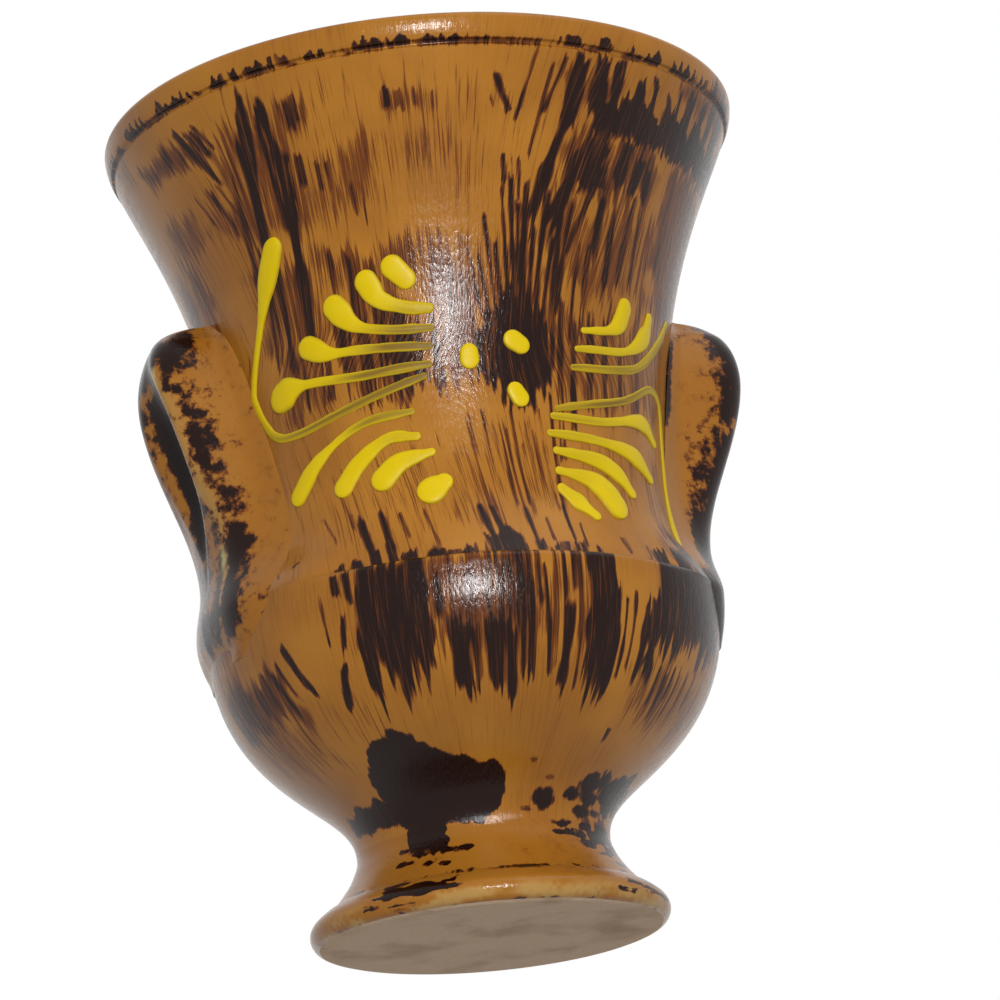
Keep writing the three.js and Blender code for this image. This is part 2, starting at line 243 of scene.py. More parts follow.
def wall_radius(height):
    """Outside radius of the vase at a height"""
    return np.interp(height, OUTSIDE[:, 1], OUTSIDE[:, 0])


def on_wall(angle, radius, height):
    """Points from degrees round the axis, radius and height"""
    turn = np.radians(angle)
    return np.stack([radius * np.sin(turn), -radius * np.cos(turn), height + 0 * turn], -1)


def placed(name, data):
    """An object of the scene"""
    item = bpy.data.objects.new(name, data)
    bpy.context.scene.collection.objects.link(item)
    return item


def mesh_piece(name, points, faces):
    """A smooth-shaded mesh object in metres"""
    mesh = bpy.data.meshes.new(name)
    mesh.from_pydata((np.asarray(points) * MM).tolist(), [], faces)
    mesh.validate()
    mesh.shade_smooth()
    mesh.set_sharp_from_angle(angle=math.radians(SHARP_ANGLE))
    return placed(name, mesh)


def finished(piece, node, slot, *materials):
    """Dresses a piece, hides the node that it stands for, and attaches it to the root body"""
    for item in materials:
        piece.data.materials.append(item)
    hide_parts(node)
    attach(piece, "root")


def write_field(piece, name, values):
    """Stores one number per vertex for the material to read"""
    field = piece.data.attributes.new(name, "FLOAT", "POINT")
    field.data.foreach_set("value", np.asarray(values, np.float32))


def ring_faces(rows, count, closed):
    """Quads between rings of points, joined round, and from last to first where closed"""
    faces = []
    for row in range(rows if closed else rows - 1):
        low = row * count
        high = ((row + 1) % rows) * count
        for i in range(count):
            j = (i + 1) % count
            faces.append((low + i, low + j, high + j, high + i))
    return faces


def end_faces(rows, count):
    """Faces that fill the first and the last ring"""
    last = (rows - 1) * count
    return [tuple(reversed(range(count))), tuple(range(last, last + count))]


def filled_ledge(angle, radius, height):
    """How far clay smeared from the handles fills the ledge of the shoulder"""
    beside = smooth(FILL_START, FILL_END, abs(np.sin(np.radians(angle))))
    if height < SHOULDER_CENTRE[1]:
        return 0 * beside
    if height < SHOULDER_HEIGHT or radius > CUP_FOOT_RADIUS and height == SHOULDER_HEIGHT:
        return beside * (SHOULDER_RADIUS - radius)
    return beside * SHOULDER_LEDGE * smooth(FILL_TOP, SHOULDER_HEIGHT, height)


def uneven(angle, radius, height):
    """Radius with the slow wobble and the fine rings that throwing leaves"""
    turn = np.radians(angle)
    slow = np.sin(2 * turn + 0.05 * height) + 0.6 * np.sin(3 * turn - 0.03 * height + 1)
    rings = np.sin(2 * math.pi * height / THROWING_PITCH + np.sin(turn) + 0.8 * np.sin(height / 7))
    return radius + WOBBLE * (slow - 1.6) * 0.5 + THROWING_RELIEF * (rings - 1) * 0.5


# Angles of the columns of the turned pieces
COLUMNS = np.r_[
    np.arange(FRONT_START, FRONT_END, FRONT_COLUMN), np.arange(FRONT_END, FRONT_START + 360, BACK_COLUMN)]


def turned(name, outline, closed):
    """A turned piece from an outline that runs up the outside and down the inside"""
    angle = COLUMNS
    points = []
    for radius, height in outline:
        around = radius + 0 * angle
        if radius > wall_radius(height) - WALL / 2:
            around = uneven(angle, radius + filled_ledge(angle, radius, height), height)
        points.append(on_wall(angle, around, height))
    faces = ring_faces(len(outline), len(angle), closed)
    if not closed:
        faces += end_faces(len(outline), len(angle))
    return mesh_piece(name, np.vstack(points), faces)


def foot_outline():
    """Outline of the foot: base, bead, flare, and the well inside"""
    floor = (STEM_BORE - FLOOR_ROUNDING, BASE_THICKNESS + FLOOR_ROUNDING)
    return np.vstack([
        spaced([(AXIS_GAP, 0), BEAD[0]], BASE_ROW)[:-1],
        spaced(BEAD, ROW / 2),
        spaced(FLARE, ROW / 2),
        spaced([(STEM_RADIUS, FOOT_HEIGHT), (STEM_BORE, FOOT_HEIGHT)], INSIDE_ROW)[1:],
        spaced(arc(floor, FLOOR_ROUNDING, 0, -90), INSIDE_ROW),
        spaced([(floor[0], BASE_THICKNESS), (AXIS_GAP, BASE_THICKNESS)], INSIDE_ROW)[1:],
    ])


def bowl_outline():
    """Outline of the bowl: up to the shoulder outside, and down to the stem inside"""
    inside = sweep(
        (STEM_BORE, FOOT_HEIGHT), STEM_REACH, 0,
        (CUP_FOOT_RADIUS - WALL, SHOULDER_HEIGHT), SHOULDER_REACH, 0)
    return np.vstack([
        spaced(BOWL, ROW),
        spaced(SHOULDER, ROW / 2)[1:],
        spaced(inside, INSIDE_ROW)[::-1],
    ])


def cup_outline():
    """Outline of the cup: up to the lip outside, and down to the shoulder inside"""
    return np.vstack([
        spaced(CUP, ROW),
        spaced(GROOVE, ROW / 3)[1:],
        spaced(LIP, ROW / 2),
        spaced(CUP - [WALL, 0], INSIDE_ROW)[::-1],
    ])


# Strokes of dark wash on the wall: angle and height where the brush lands, angle and height
# where it lifts, width of the stroke, and load from 0, dry, to 1, full
CUP_STROKES = [
    # Dry smudges on the left, leaning outwards
    (-67.2, 162, -58.4, 146, 1.3, 0.85), (-69, 149, -64.4, 139, 1.2, 0.7),
    (-64, 149, -59, 137, 1.1, 0.75), (-61.5, 149, -57.5, 141, 1, 0.6), (-66, 160, -60, 152, 3, 0.6),
    (-62, 160, -58, 153, 3, 0.7),
    # Two strong streaks above the hook, and what they trail
    (-47.2, 165, -53, 136, 2.4, 1), (-50.2, 156, -53.6, 130, 2.8, 1), (-54.5, 135, -57.4, 108, 1.8, 0.7),
    (-44.8, 161, -43.2, 138, 2, 1), (-43, 153, -44.8, 132, 2.8, 1), (-44.4, 142, -46.8, 108, 2.4, 1),
    (-46, 158, -46.4, 134, 1.2, 0.85), (-49.4, 162, -49, 146, 0.9, 0.7),
    (-39.4, 150, -39.8, 140, 1.8, 0.95), (-39, 159, -38.6, 152, 3, 0.85),
    (-36.4, 158, -36.4, 152.4, 1.6, 0.6), (-56, 151, -58.6, 124, 1.6, 0.75),
    (-36, 147, -36, 140, 1.6, 0.6), (-33.6, 146, -33.6, 140, 1.2, 0.5),
    (-29.6, 142, -29.2, 133, 0.9, 0.7), (-27, 139, -27, 132, 0.8, 0.6), (-52, 134, -53, 106, 1.6, 0.75),
    (-49, 130, -50, 99, 1.4, 0.7),
    # Behind the left fronds
    (-38, 132, -38, 96, 2, 0.6), (-33, 131, -32, 95, 2, 0.65), (-28, 128, -27, 94, 2, 0.65),
    (-24, 119, -22, 96, 4, 0.75), (-30, 118, -29, 103, 5, 0.7), (-37, 117, -38, 103, 4, 0.65),
    (-43, 112, -44, 99, 3, 0.65), (-20, 114, -19, 98, 3, 0.7), (-15, 116, -14, 96, 2, 0.6),
    # Thin marks under the left fronds, leaning in
    (-38.4, 77, -32.6, 65, 1.3, 1), (-32.6, 77, -28.2, 65, 1.4, 1), (-27.6, 76, -24.6, 69, 0.9, 0.75),
    (-50, 79.6, -42, 70, 0.8, 0.6), (-41, 79, -36.4, 70, 0.8, 0.65), (-46, 88, -38, 71, 0.8, 0.5),
    (-22, 77, -17, 66, 0.8, 0.6), (-18, 76, -14, 66, 0.8, 0.6), (-35, 90, -27, 72, 0.8, 0.5),
    (-59.6, 68.6, -57.4, 66.6, 0.8, 0.8), (-55, 68, -52.4, 69.4, 0.8, 0.8),
    # Centre: a few dry touches under the rim
    (-20, 158, -19.6, 151.6, 1.5, 0.9), (-17.6, 157.4, -17.4, 152, 1.4, 0.7),
    (-15, 157.4, -15, 152, 1.6, 0.65), (-11.6, 156, -11.6, 152, 1.6, 0.5),
    (0.4, 160, 3.8, 151, 1.1, 0.85), (2.6, 155, 4, 151, 1.3, 0.9), (0.4, 154.6, 1.2, 152.4, 1.2, 0.7),
    (9.6, 165, 5, 149.6, 0.9, 0.9), (12.5, 162, 7.9, 142, 0.9, 0.8), (15.4, 164, 10, 149.4, 1, 0.85),
    (2.8, 145, 3.2, 138, 1.4, 0.85), (5.6, 145, 6.2, 134, 1.6, 0.8),
    # Centre: streaks that fan down into the dark heart of the motif
    (-9, 126, -4, 108, 0.7, 0.6), (-6, 129, -2, 110, 0.7, 0.75), (-3.4, 127, -0.4, 110, 0.8, 0.7),
    (-1.6, 134, 1, 112, 0.7, 0.85), (0.8, 130, 2.4, 112, 0.9, 0.8), (2.6, 139, 4.2, 112, 0.8, 0.9),
    (4.6, 142, 5.4, 114, 1.1, 0.95), (6.4, 136, 6.4, 112, 1, 0.9), (8.4, 141, 7.4, 114, 1.2, 1),
    (10.6, 133, 8.8, 112, 0.9, 0.9), (13.4, 138, 10.4, 112, 1.1, 0.95), (15.6, 131, 12, 110, 0.9, 0.85),
    (17.6, 136, 13.4, 108, 0.8, 0.8),
    # Centre: the heart itself
    (-4, 112, -3.6, 99, 3, 0.8), (-1, 116, -0.6, 97, 3, 0.9), (2, 120, 2.2, 94, 3, 1),
    (5, 122, 5, 92, 3, 1), (8, 122, 7.8, 92, 3, 1), (10.8, 119, 10.6, 94, 3, 1),
    (13, 115, 12.8, 98, 2, 0.9),
    # Centre: fine marks under it, leaning
    (-12, 95, -8, 76, 0.6, 0.6), (-9, 96, -5, 74, 0.7, 0.65), (-5, 96, -1.4, 75, 0.6, 0.65),
    (-7, 90, -3.4, 72, 0.6, 0.6), (-1, 97, 2, 73, 0.8, 0.65), (2.6, 97, 5, 73, 0.6, 0.65),
    (6.4, 97, 9, 77, 0.7, 0.65), (0.8, 93, 3.6, 70, 0.6, 0.6), (10, 97, 13.4, 72, 0.7, 0.7),
    (13.8, 100, 13.8, 69, 0.8, 0.75), (-8.2, 76, -4.2, 65, 1.2, 0.95), (8.2, 92, 11, 70, 0.6, 0.6),
    (-5.4, 76, -1.6, 65, 1.4, 0.95), (-2.4, 71, -1.6, 64, 2.2, 1), (3, 76, 5, 64.6, 0.8, 0.85),
    (8, 73, 9, 65, 0.8, 0.7), (13, 77, 14.4, 65, 0.8, 0.7), (-14, 79, -11, 66, 0.7, 0.6),
    (17, 72, 17, 65, 0.8, 0.6), (4.6, 90, 7, 70, 0.6, 0.6),
    # Right: bold strokes leaning to the motif
    (18.6, 164, 16, 149, 3.6, 1), (18, 156, 7.4, 127, 2.6, 1), (8.6, 134, 6, 120, 1.4, 0.9),
    (24, 150.6, 12.4, 128, 3.4, 1), (28, 146, 17, 122, 1.8, 0.8), (23, 164.6, 22, 149.6, 3.6, 1),
    (26.8, 164, 26.4, 149.6, 3.4, 1), (33.4, 151, 31, 138.6, 3, 1), (38, 148, 35.6, 138.6, 3, 1),
    (41, 147, 40.4, 138, 2.4, 0.8), (23, 146, 22.4, 137.6, 5, 1), (26.8, 144, 26.6, 139, 3, 0.9),
    (33, 162, 33, 148, 2.4, 1), (37, 163, 37, 148, 2.4, 1), (41.6, 161, 42, 149, 2, 1),
    (45, 163.4, 45, 149, 1.6, 1), (49.4, 164, 49, 149, 2.4, 1), (55, 164, 55, 149, 3, 1),
    (60, 165, 60, 149, 4, 1), (66, 167, 66, 149, 5, 1), (27.4, 150, 20, 137, 4, 1),
    (28.4, 140, 26.6, 124, 1.8, 0.9), (32, 138, 30.6, 118, 1.8, 0.9), (38.6, 141, 34.6, 121, 1.3, 0.9),
    (41, 139, 39.6, 120, 1.3, 0.75), (20, 138, 16, 112, 1.3, 0.85), (22.6, 131, 20, 108, 1.2, 0.75),
    (17, 134, 14.6, 100, 1.4, 0.8), (25.6, 130, 23, 108, 1.1, 0.75), (46, 139, 45, 118, 1.4, 0.6),
    # Right: behind the fronds
    (18, 119, 16, 82, 1.4, 0.75), (22, 116, 20, 88, 1.4, 0.65), (27, 119, 26, 92, 2, 0.65),
    (32, 117, 31, 93, 2, 0.65), (38, 113, 38, 94, 2, 0.65), (44, 112, 44, 95, 2.6, 0.6),
    (28, 70, 30, 65, 2, 0.5), (42, 72, 44, 65, 2, 0.6), (50, 75, 52, 65, 3, 0.6),
    (36, 69, 37, 65, 2, 0.6),
    # Tufts along the shoulder
    (-42, 67, -40, 60, 2, 0.95), (-38, 67.4, -36, 60, 2.4, 0.95), (-34, 69, -31, 60, 3, 1),
    (-30, 70, -27, 60, 2.6, 1), (-25.4, 67.4, -24, 60, 3, 0.95), (-19, 67, -18, 60, 4, 0.9),
    (-12, 67, -10, 60, 4, 0.9), (-6, 70, -3, 60, 3, 1), (-1.6, 71, 0, 60, 3, 1),
    (5, 68, 5.4, 60, 2, 0.95), (11, 67.4, 11, 60, 2, 0.85), (15, 68, 15, 60, 2, 0.9),
    (20, 67, 20, 60, 2, 0.8), (40, 69, 40, 60, 4, 0.9), (47, 70, 47, 60, 5, 0.95),
    (54, 71, 54, 60, 6, 0.95), (61, 72, 61, 60, 6, 0.95), (8, 66.8, 8, 60, 3, 0.7),
    (-15.4, 66.6, -15, 60, 3, 0.7), (1.6, 66.8, 1.6, 60, 2, 0.7),
]
# Band of short upright strokes on the right, under the rim, which thins out towards the back
BAND_STROKES = [
    (angle, 155.4 + 1.2 * (angle % 4), angle - 0.6, 148.6 - angle % 2, 4.4 - 0.1 * max(0, angle - 70), 1)
    for angle in range(25, 107, 3)]
BOWL_STROKES = [
    # Dry streaks on the left
    (-59.6, 55, -52.8, 41, 1.4, 1), (-62.6, 52, -58, 41, 1.2, 0.9), (-65, 51, -61, 40, 1.2, 0.8),
    (-68, 51, -66, 40, 1.4, 0.85), (-72, 49, -71, 40, 2, 0.7), (-77, 49, -77, 39, 2.4, 0.7),
    (-82, 49, -82, 40, 3, 0.6), (-88, 50, -88, 39, 4, 0.6), (-76, 59, -72, 55, 2.2, 0.8),
    (-80, 60, -77, 57, 1.6, 0.7), (-46, 62, -45.4, 50, 0.8, 0.95), (-40.6, 57, -42.6, 47, 1.3, 1),
    (-43, 48, -46.6, 38, 1.5, 1), (-43.6, 43, -43, 35.6, 0.8, 0.8), (-42.4, 65, -41.6, 58, 1.6, 0.95),
    (-39.4, 65, -38.6, 57, 1.4, 0.95),
    # Full block left of the middle
    (-34.6, 70, -37.8, 34, 3.6, 1), (-32, 70, -33, 37, 5, 1), (-28, 70, -28.4, 35.6, 5, 1),
    (-24, 70, -23.4, 37, 4.4, 1),
    # Middle, combed
    (-15.6, 54, -15.4, 36, 4.4, 1), (-12, 52, -11.8, 37, 1.3, 0.95), (-7.6, 53, -7.4, 36.6, 2.6, 1),
    (-4.2, 52, -3.4, 35, 2.6, 1), (-1.4, 68, -1, 38, 1.4, 0.95), (0.6, 68, 1, 38, 1.4, 0.95),
    (-19, 62, -19.6, 50, 1, 0.8), (4, 62, 5.4, 40, 0.9, 0.95), (6.6, 67, 6.4, 41, 0.9, 0.85),
    (10, 57, 8.6, 35.6, 2.2, 1), (12.4, 69, 12.6, 37, 0.8, 0.9), (2.6, 66, 3, 52, 1, 0.9),
    (8.6, 66, 9, 52, 1.3, 0.85), (11, 66, 11, 55, 0.9, 0.85),
    # Blocks on the right
    (16.6, 70, 16.2, 34.6, 4, 1), (19.8, 69, 19.6, 34.4, 4, 1), (22, 60, 22, 36, 1.4, 1),
    (24.4, 58, 24, 39.6, 0.8, 1), (27, 59, 26, 39.6, 0.9, 0.95), (30.6, 58, 29.8, 38.6, 1.8, 1),
    (33.4, 59, 32.8, 40.4, 3, 1), (37, 69, 36.4, 43, 4, 1), (41, 70, 41, 44, 5, 1),
    (46, 70, 46, 45, 6, 1), (52, 70, 52, 44, 6, 1), (57, 70, 57, 44, 6, 1), (63, 70, 63, 44, 6, 0.95),
    (38, 45, 38, 37, 0.9, 0.9), (41, 45, 41.6, 35, 1, 0.9), (44, 46, 44, 37, 0.9, 0.9),
    (47, 46, 47, 35, 0.9, 0.8), (51, 46, 51, 37, 1.2, 0.8), (55, 46, 55, 38, 1.1, 0.7),
    (29.4, 34, 29.8, 30.6, 1, 0.8),
]
FOOT_STROKES = [
    (-49, 17.4, -28, 17, 3.4, 1), (-48, 15.4, -32, 14.8, 3, 1), (-55, 4.6, -21, 4.2, 2.4, 1),
    (-52, 6.2, -40, 6.4, 1, 0.95), (-30, 5.6, -22, 5.8, 1.2, 0.9), (-58, 2.6, -50, 2.4, 1, 0.8),
    (34, 4.6, 44, 4, 1.2, 0.95), (28, 2.6, 40, 2.2, 0.8, 0.7), (46, 5.6, 62, 5, 1.6, 0.9),
    (-50, 1.6, -34, 1.4, 0.8, 0.7), (40, 3.4, 66, 2.8, 1.2, 0.85), (50, 6.4, 76, 5.6, 1.4, 0.9),
    (62, 4.6, 84, 3.6, 1.6, 0.85), (30, 6.2, 46, 5.8, 0.9, 0.8),
]

# Veils of thin wash: the angles and the heights between which they lie, and their load
VEILS = [
    (-86, -56, 161, 151, 0.75), (-88, -69, 152, 134, 0.5), (-71, -56, 152, 135, 0.42),
    (-44, -34, 161, 150, 0.45), (-62, -36, 160, 128, 0.42), (-38, -22, 153, 131, 0.4),
    (-62, -38, 139, 92, 0.5), (-42, -16, 136, 93, 0.52), (-22, -3, 136, 92, 0.42),
    (-18, 0, 129, 94, 0.34), (-22, -9, 159, 150, 0.4), (-1, 6, 159, 150, 0.25), (-30, -2, 152, 138, 0.2),
    (-8, 16, 134, 108, 0.36), (-48, -10, 97, 64, 0.18), (-16, 17, 100, 64, 0.3), (12, 31, 165, 148, 0.55),
    (40, 74, 168, 157, 0.6), (14, 46, 155, 134, 0.68), (9, 52, 144, 112, 0.5), (47, 76, 155, 112, 0.75),
    (13, 64, 122, 90, 0.46), (15, 60, 94, 72, 0.28), (40, 68, 78, 62, 0.45), (-44, 24, 70, 42, 0.4),
    (-21, 2, 58, 38, 0.3), (32, 70, 70, 44, 0.55), (-94, -56, 54, 36, 0.66), (-94, -70, 63, 53, 0.4),
    (-25, 5, 70, 46, 0.66),
    # Faint streaks over the clear parts
    (-62, 16, 168, 126, 0.2), (-92, -48, 134, 66, 0.2), (-50, -14, 94, 62, 0.16), (24, 78, 48, 30, 0.46),
    (-64, -36, 46, 30, 0.24), (-98, -54, 46, 28, 0.42), (-36, 20, 40, 28, 0.14), (44, 74, 96, 62, 0.2),
]

# Rounded dabs of full wash: the angle and the height of the middle, half the angle and the height
# that they take up, and their load, over 1 where it is thick
DABS = [
    # Heart of the motif
    (6.4, 104.5, 6, 8, 1.1),
    # Bowl and stem
    (-38, 25.6, 17, 8, 1.5), (-20.4, 23.8, 15.6, 5.8, 1.5), (-38, 32.4, 7, 2.2, 1.4),
    (-66, 22.4, 18, 2.6, 1.1), (-40, 17.4, 9, 3.4, 1.4), (-34, 14.6, 5, 1.6, 1),
    (14, 21.8, 6.4, 1.6, 1.1), (5.6, 20, 4, 0.7, 0.8), (27, 23, 5, 1, 1.2), (35, 24.8, 5, 1.5, 1.3),
    (42.6, 25.8, 4, 2, 1.3), (40, 22.6, 6, 1.1, 1.3), (50, 24.2, 5, 2.2, 1.3), (58, 25.8, 7, 2.6, 1.3),
    (56, 21.6, 8, 1.5, 1.3), (67, 24, 8, 3, 1.3), (35, 20, 5, 1, 1.2), (46, 20.2, 4, 0.8, 1.2),
    (14.6, 25.4, 1.6, 0.4, 0.7), (6, 28.2, 1.6, 0.4, 0.6),
    # Flare of the foot
    (-44, 13.4, 6, 1, 0.75), (-36, 13, 6, 1.1, 0.75), (-28, 12.8, 5.4, 0.9, 0.75),
    (-21, 13, 3, 0.6, 0.75), (-37, 10.6, 4, 0.7, 0.7), (-30, 10, 3, 0.6, 0.7),
    (-47, 11.4, 4.4, 0.7, 0.75), (-50, 14.2, 4, 0.8, 0.75), (24, 17.4, 5, 0.9, 0.8),
    (30, 15.6, 6, 1, 0.75), (38, 17.4, 7, 1.3, 0.85), (36, 13.4, 5, 0.9, 0.7), (46, 15, 7, 1.4, 0.85),
    (44, 11.6, 5, 0.8, 0.7), (54, 17.6, 8, 1.7, 0.9), (54, 12.8, 7, 1.2, 0.8), (62, 15.2, 8, 1.7, 0.9),
    (52, 9.8, 5, 0.7, 0.7), (20, 15.4, 3, 0.6, 0.7), (66, 11, 8, 1.2, 0.8),
]

# How a brush lays the wash: breadth and length of one bristle's track, and how soft and ragged
# the edges of a veil are
BRISTLE = 0.55
TRACK = 24.0
VEIL_SOFTNESS = 2.5
VEIL_RAGGED = 12.0


def stroke_wash(across, along, length, width, load, seed):
    """Wash left by one stroke, streaked along its length and ragged at its ends"""
    bristle = noise(across / BRISTLE, along / TRACK, seed)
    body = smooth(-0.05, 0.3, 1.15 * load - bristle)
    ragged = min(2 + 1.5 * width, 0.28 * length)
    lands = along - 0.7 * ragged * ripple(across / BRISTLE, seed + 2000)
    lifts = length - along - ragged * ripple(across / BRISTLE, seed + 3000)
    frayed = min(1.2, 0.4 * width) * (ripple(along / 4, seed + 4000) - 0.5)
    side = smooth(-0.3, 0.35, width / 2 - abs(across) + frayed)
    ends = smooth(-0.1 * ragged, 0.2 * ragged, lands) * smooth(-0.1 * ragged, 0.3 * ragged, lifts)
    return body * ends * side * (0.3 + 0.75 * load)


def frayed_end(across, seed):
    """How far short each bristle stops, from 0 to 1"""
    return 0.5 * ripple(across / BRISTLE, seed) + 0.5 * ripple(across / 4, seed + 1)


def veil_wash(across, height, half, top, bottom, load, seed):
    """Thin wash over a broad patch, streaked upright and frayed all round"""
    ragged = min(VEIL_RAGGED, 0.4 * (top - bottom))
    above = top - height - ragged * frayed_end(across, seed + 5000)
    below = height - bottom - ragged * frayed_end(across, seed + 6000)
    beside = half - abs(across) - 2 * VEIL_SOFTNESS * ripple(height / 5, seed + 7000)
    tracks = 0.8 + 0.4 * noise(across / (3 * BRISTLE), height / TRACK, seed + 8000)
    edge = smooth(-2, 3, above) * smooth(-2, 3, below) * smooth(-VEIL_SOFTNESS, VEIL_SOFTNESS, beside)
    return load * tracks * edge


def dab_wash(across, up, half, tall, load, seed):
    """Full wash over a rounded patch with a ragged edge"""
    coarse = noise(across / 3 + 31, up / 3 + 31, seed + 9000) - 0.5
    fine = noise(across + up / 3, up - across / 3, seed + 9500) - 0.5
    small = min(half, tall)
    ragged = min(1.8, 0.8 * small) * coarse + min(0.7, 0.5 * small) * fine
    inside = small * (1 - np.hypot(across / half, up / tall)) + ragged
    soft = min(0.4, 0.4 * small)
    return load * smooth(-soft, soft, inside)


def brushed(angle, height, veils, strokes, dabs):
    """Wash that veils, strokes and dabs leave at points of the wall, from 0 to 1, or more in thick dabs"""
    wash = np.zeros(len(angle))

    def away(middle, level):
        return ((angle - middle + 180) % 360 - 180) * math.radians(wall_radius(level))

    def lay(near, cover):
        wash[near] += cover * np.maximum(1 - wash[near], 0)

    for seed, (left, right, top, bottom, load) in enumerate(veils):
        level = (top + bottom) / 2
        half = (right - left) / 2 * math.radians(wall_radius(level))
        x = away((left + right) / 2, level)
        near = (abs(x) < half + VEIL_RAGGED) & (abs(height - level) < (top - bottom) / 2 + VEIL_RAGGED)
        lay(near, veil_wash(x[near], height[near], half, top, bottom, load, seed))
    for seed, (start, top, end, bottom, width, load) in enumerate(strokes):
        level = (top + bottom) / 2
        run = (end - start) * math.radians(wall_radius(level))
        fall = bottom - top
        length = math.hypot(run, fall)
        x = away((start + end) / 2, level)
        y = height - level
        near = np.hypot(x, y) < length / 2 + width
        along = (x[near] * run + y[near] * fall) / length + length / 2
        across = (x[near] * fall - y[near] * run) / length
        lay(near, stroke_wash(across, along, length, width, load, seed))
    for seed, (middle, level, half_angle, tall, load) in enumerate(dabs):
        half = half_angle * math.radians(wall_radius(level))
        x = away(middle, level)
        y = height - level
        near = np.hypot(x / half, y / tall) < 3
        lay(near, dab_wash(x[near], y[near], half, tall, load, seed))
    return wash


# The side that the photograph doesn't show: where strokes land and lift, their width and load
BACK_START = 70
BACK_END = 264
BACK_ROWS = [
    (162, 150, 4, 0.8), (149, 137, 3, 0.8), (138, 112, 2, 0.75), (120, 88, 3, 0.7), (98, 72, 1.3, 0.7),
    (68, 64, 4, 0.9), (64, 38, 5, 0.95), (62, 44, 1.2, 0.85),
]
# Levels of its veils with their load, and rows of its dabs with half angle, half height and gap
BACK_VEIL = 24
BACK_LEVELS = [(160, 148, 0.5), (150, 130, 0.45), (136, 94, 0.5), (70, 42, 0.45)]
BACK_DABS = [
    (26, 14, 4.5, 52), (21, 9, 1.5, 34), (16, 6, 1.3, 40), (12, 5, 0.9, 50), (4.6, 10, 1.1, 56),
]


def back_strokes():
    """Seeded strokes in the same rows round the back"""
    strokes = []
    for top, bottom, width, load in BACK_ROWS:
        angle = BACK_START
        while angle < BACK_END:
            lean = rng.normal(0, 2)
            rise = rng.normal(0, 1.5)
            strokes.append((
                angle, top + rise, angle + lean, bottom + rise,
                width * rng.uniform(0.6, 1.3), load * rng.uniform(0.55, 1.1)))
            angle += rng.uniform(3, 9)
    return strokes


def back_veils():
    """Seeded veils over the same levels round the back"""
    veils = []
    for top, bottom, load in BACK_LEVELS:
        for angle in range(BACK_START, BACK_END, BACK_VEIL):
            breadth = BACK_VEIL * rng.uniform(0.5, 1.1)
            rise = rng.normal(0, 3)
            veils.append((angle, angle + breadth, top + rise, bottom + rise, load * rng.uniform(0.5, 1.2)))
    return veils


def back_dabs():
    """Seeded dabs on the stem and the foot round the back"""
    dabs = []
    for height, half, tall, gap in BACK_DABS:
        angle = BACK_START + gap
        while angle < BACK_END - gap:
            size = rng.uniform(0.5, 1.2)
            rise = tall * rng.normal(0, 0.5)
            dabs.append((angle, height + rise, half * size, tall * size, rng.uniform(0.8, 1.2)))
            angle += gap * rng.uniform(0.6, 1.8)
    return dabs


def wall_places(piece):
    """Angle, radius and height of a piece's vertices"""
    places = np.empty(len(piece.data.vertices) * 3)
    piece.data.vertices.foreach_get("co", places)
    x, y, z = places.reshape(-1, 3).T / MM
    return np.degrees(np.arctan2(x, -y)), np.hypot(x, y), z


# How far the brush leans, in degrees round the axis per millimetre of height, at angles of the wall
LEAN_ANGLES = [-90, -74, -66, -54, -46, -30, -10, 10, 26, 46, 80]
LEAN_ABOVE = [0, -0.3, -0.3, -0.02, 0.12, 0, 0, 0.2, 0.34, 0.12, 0]
LEAN_BELOW = [0, -0.2, -0.3, -0.4, -0.4, -0.35, -0.25, -0.12, 0, 0, 0]
LEAN_HEIGHT_ABOVE = 138
LEAN_HEIGHT_BELOW = 80
LEAN_CHANGE = (100, 116)


def brush_lines(angle, height):
    """The angle that a brush line through each point of the cup comes from"""
    above = np.interp(angle, LEAN_ANGLES, LEAN_ABOVE) * (height - LEAN_HEIGHT_ABOVE)
    below = np.interp(angle, LEAN_ANGLES, LEAN_BELOW) * (height - LEAN_HEIGHT_BELOW)
    upper = smooth(*LEAN_CHANGE, height)
    return angle - above * upper - below * (1 - upper) * (height > SHOULDER_HEIGHT)


# Jagged marks that stand on the groove of the rim: how high they reach at angles of the wall
MARK_ANGLES = [
    -90, -78, -68, -59, -58, -52, -47, -46, -41, -37, -36, -31, -27, -26, -20, -16, -8, 0, 2, 12, 14, 22,
    32, 46, 60, 90]
MARK_HEIGHTS = [
    1.6, 1.6, 2, 1.4, 0.3, 1.8, 1.6, 0.4, 1.9, 1.3, 0.3, 1.2, 1.1, 0.4, 1.9, 1.1, 0.8, 0.6, 0, 0, 1.4, 1.6,
    1.5, 2, 4, 2]
# How full the creases are with wash: under the rim, round the underside and above the bead,
# and the height under which a point is on the underside
GROOVE_LOAD = 0.7
BASE_LOAD = 0.5
BEAD_LOAD = 0.7
UNDERSIDE = 0.01


def rim_marks(angle, height):
    """Wash of the marks on the band of the rim"""
    spikes = 0.65 * ripple(angle / 0.8, 53) + 0.35 * ripple(angle / 3.1, 54)
    reach = np.interp(angle, MARK_ANGLES, MARK_HEIGHTS)
    rise = height - BAND_FOOT
    tall = reach * (2.2 * spikes - 0.5)
    broken = smooth(0.2, 0.4, ripple(angle / 1.7, 55))
    return broken * smooth(0.25, -0.25, rise - tall) * smooth(-0.9, -0.3, rise) * smooth(0.2, 0.8, reach)


